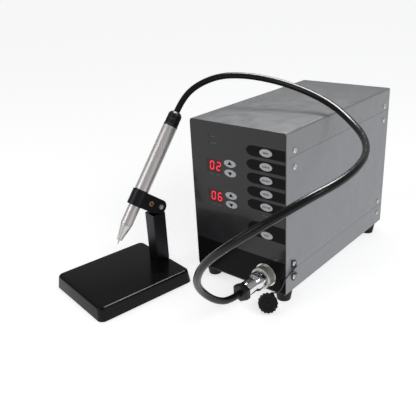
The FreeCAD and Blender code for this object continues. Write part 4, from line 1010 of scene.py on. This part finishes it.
def addStandBase():
    wide, deep = (size + standSet["flare"] * 2 for size in standSet["top"])
    thick = standSet["thick"]
    slab = addPrimitive("cube", "standSlab", size=1)
    slab.scale = (wide, deep, thick)
    bpy.ops.object.transform_apply(scale=True)
    pickFaces(slab, lambda face: face.normal.z > 0.9)
    bpy.ops.transform.resize(value=(standSet["top"][0] / wide, standSet["top"][1] / deep, 1))
    leaveEdit()
    pickEdges(slab, lambda first, second: abs(first.z - second.z) > thick / 2)
    bpy.ops.mesh.bevel(offset=standSet["corner"], segments=10)
    leaveEdit()
    pickEdges(slab, lambda first, second: min(first.z, second.z) > thick * 0.49)
    bpy.ops.mesh.bevel(offset=standSet["rim"], segments=6)
    leaveEdit()
    place = stand @ Matrix.Translation((0, standSet["shift"], standSet["low"] + thick / 2))
    finished(settle(slab, place, standSet["smooth"]), "black_enamel", "root", "stand_base")


addStandBase()

# dust cap: a raised ring and a small boss on its closed face
capSet = {"centre": (0.0715, -0.0261, -0.00423), "heading": 40.0, "lean": 20.0, "face": 0.006,
          "ring": [(0.0094, -0.0002), (0.0094, 0.0005), (0.0090, 0.0008), (0.0084, 0.0008),
                   (0.0080, 0.0005), (0.0080, -0.0002), (0.0094, -0.0002)],
          "boss": [(0.0026, -0.0002), (0.0026, 0.0007), (0.0022, 0.0011), (0.0010, 0.0012)]}


def addCapFace():
    facing = Matrix.Rotation(math.radians(capSet["heading"]), 4, "Z")
    facing = facing @ Matrix.Rotation(math.radians(90 - capSet["lean"]), 4, "X")
    place = cabinet @ Matrix.Translation(capSet["centre"]) @ facing
    place = place @ Matrix.Translation((0, 0, capSet["face"]))
    ring = turnedPiece("capRing", capSet["ring"], 64, closed=True)
    boss = turnedPiece("capBoss", capSet["boss"], 32)
    finished(settle(joinAll([ring, boss], "capFace"), place), "rubber_black", "root")


addCapFace()

# clamp screw: a flat black hexagon in the middle of its brass head, painted shade where the socket's recess would
# be
socketShadeSet = {"flats": 0.0030, "proud": 0.00004}


def addClampSocketShade():
    screwPoint = Vector(joints["clamp_screw_turn"]["pos_m"])
    inHolder = holder.inverted()
    reach = max((inHolder @ vertex.co).x for vertex in nodes["clamp_screw"].data.vertices)
    centre = inHolder @ screwPoint
    place = holder @ Matrix.Translation((reach + socketShadeSet["proud"], centre.y, centre.z))
    # painted shade: a thin black hexagon laid on the head stands in for the dark inside of the socket
    socketShade = flatShape("clampSocketShade", 6, socketShadeSet["flats"] * 2 / math.sqrt(3))
    settle(socketShade, place @ Matrix.Rotation(math.pi / 2, 4, "Y"), smoothAngle=0)
    finished(socketShade, "brass", "clamp_screw", look="print_and_shade_black")


addClampSocketShade()
print("stand, cap and clamp details")
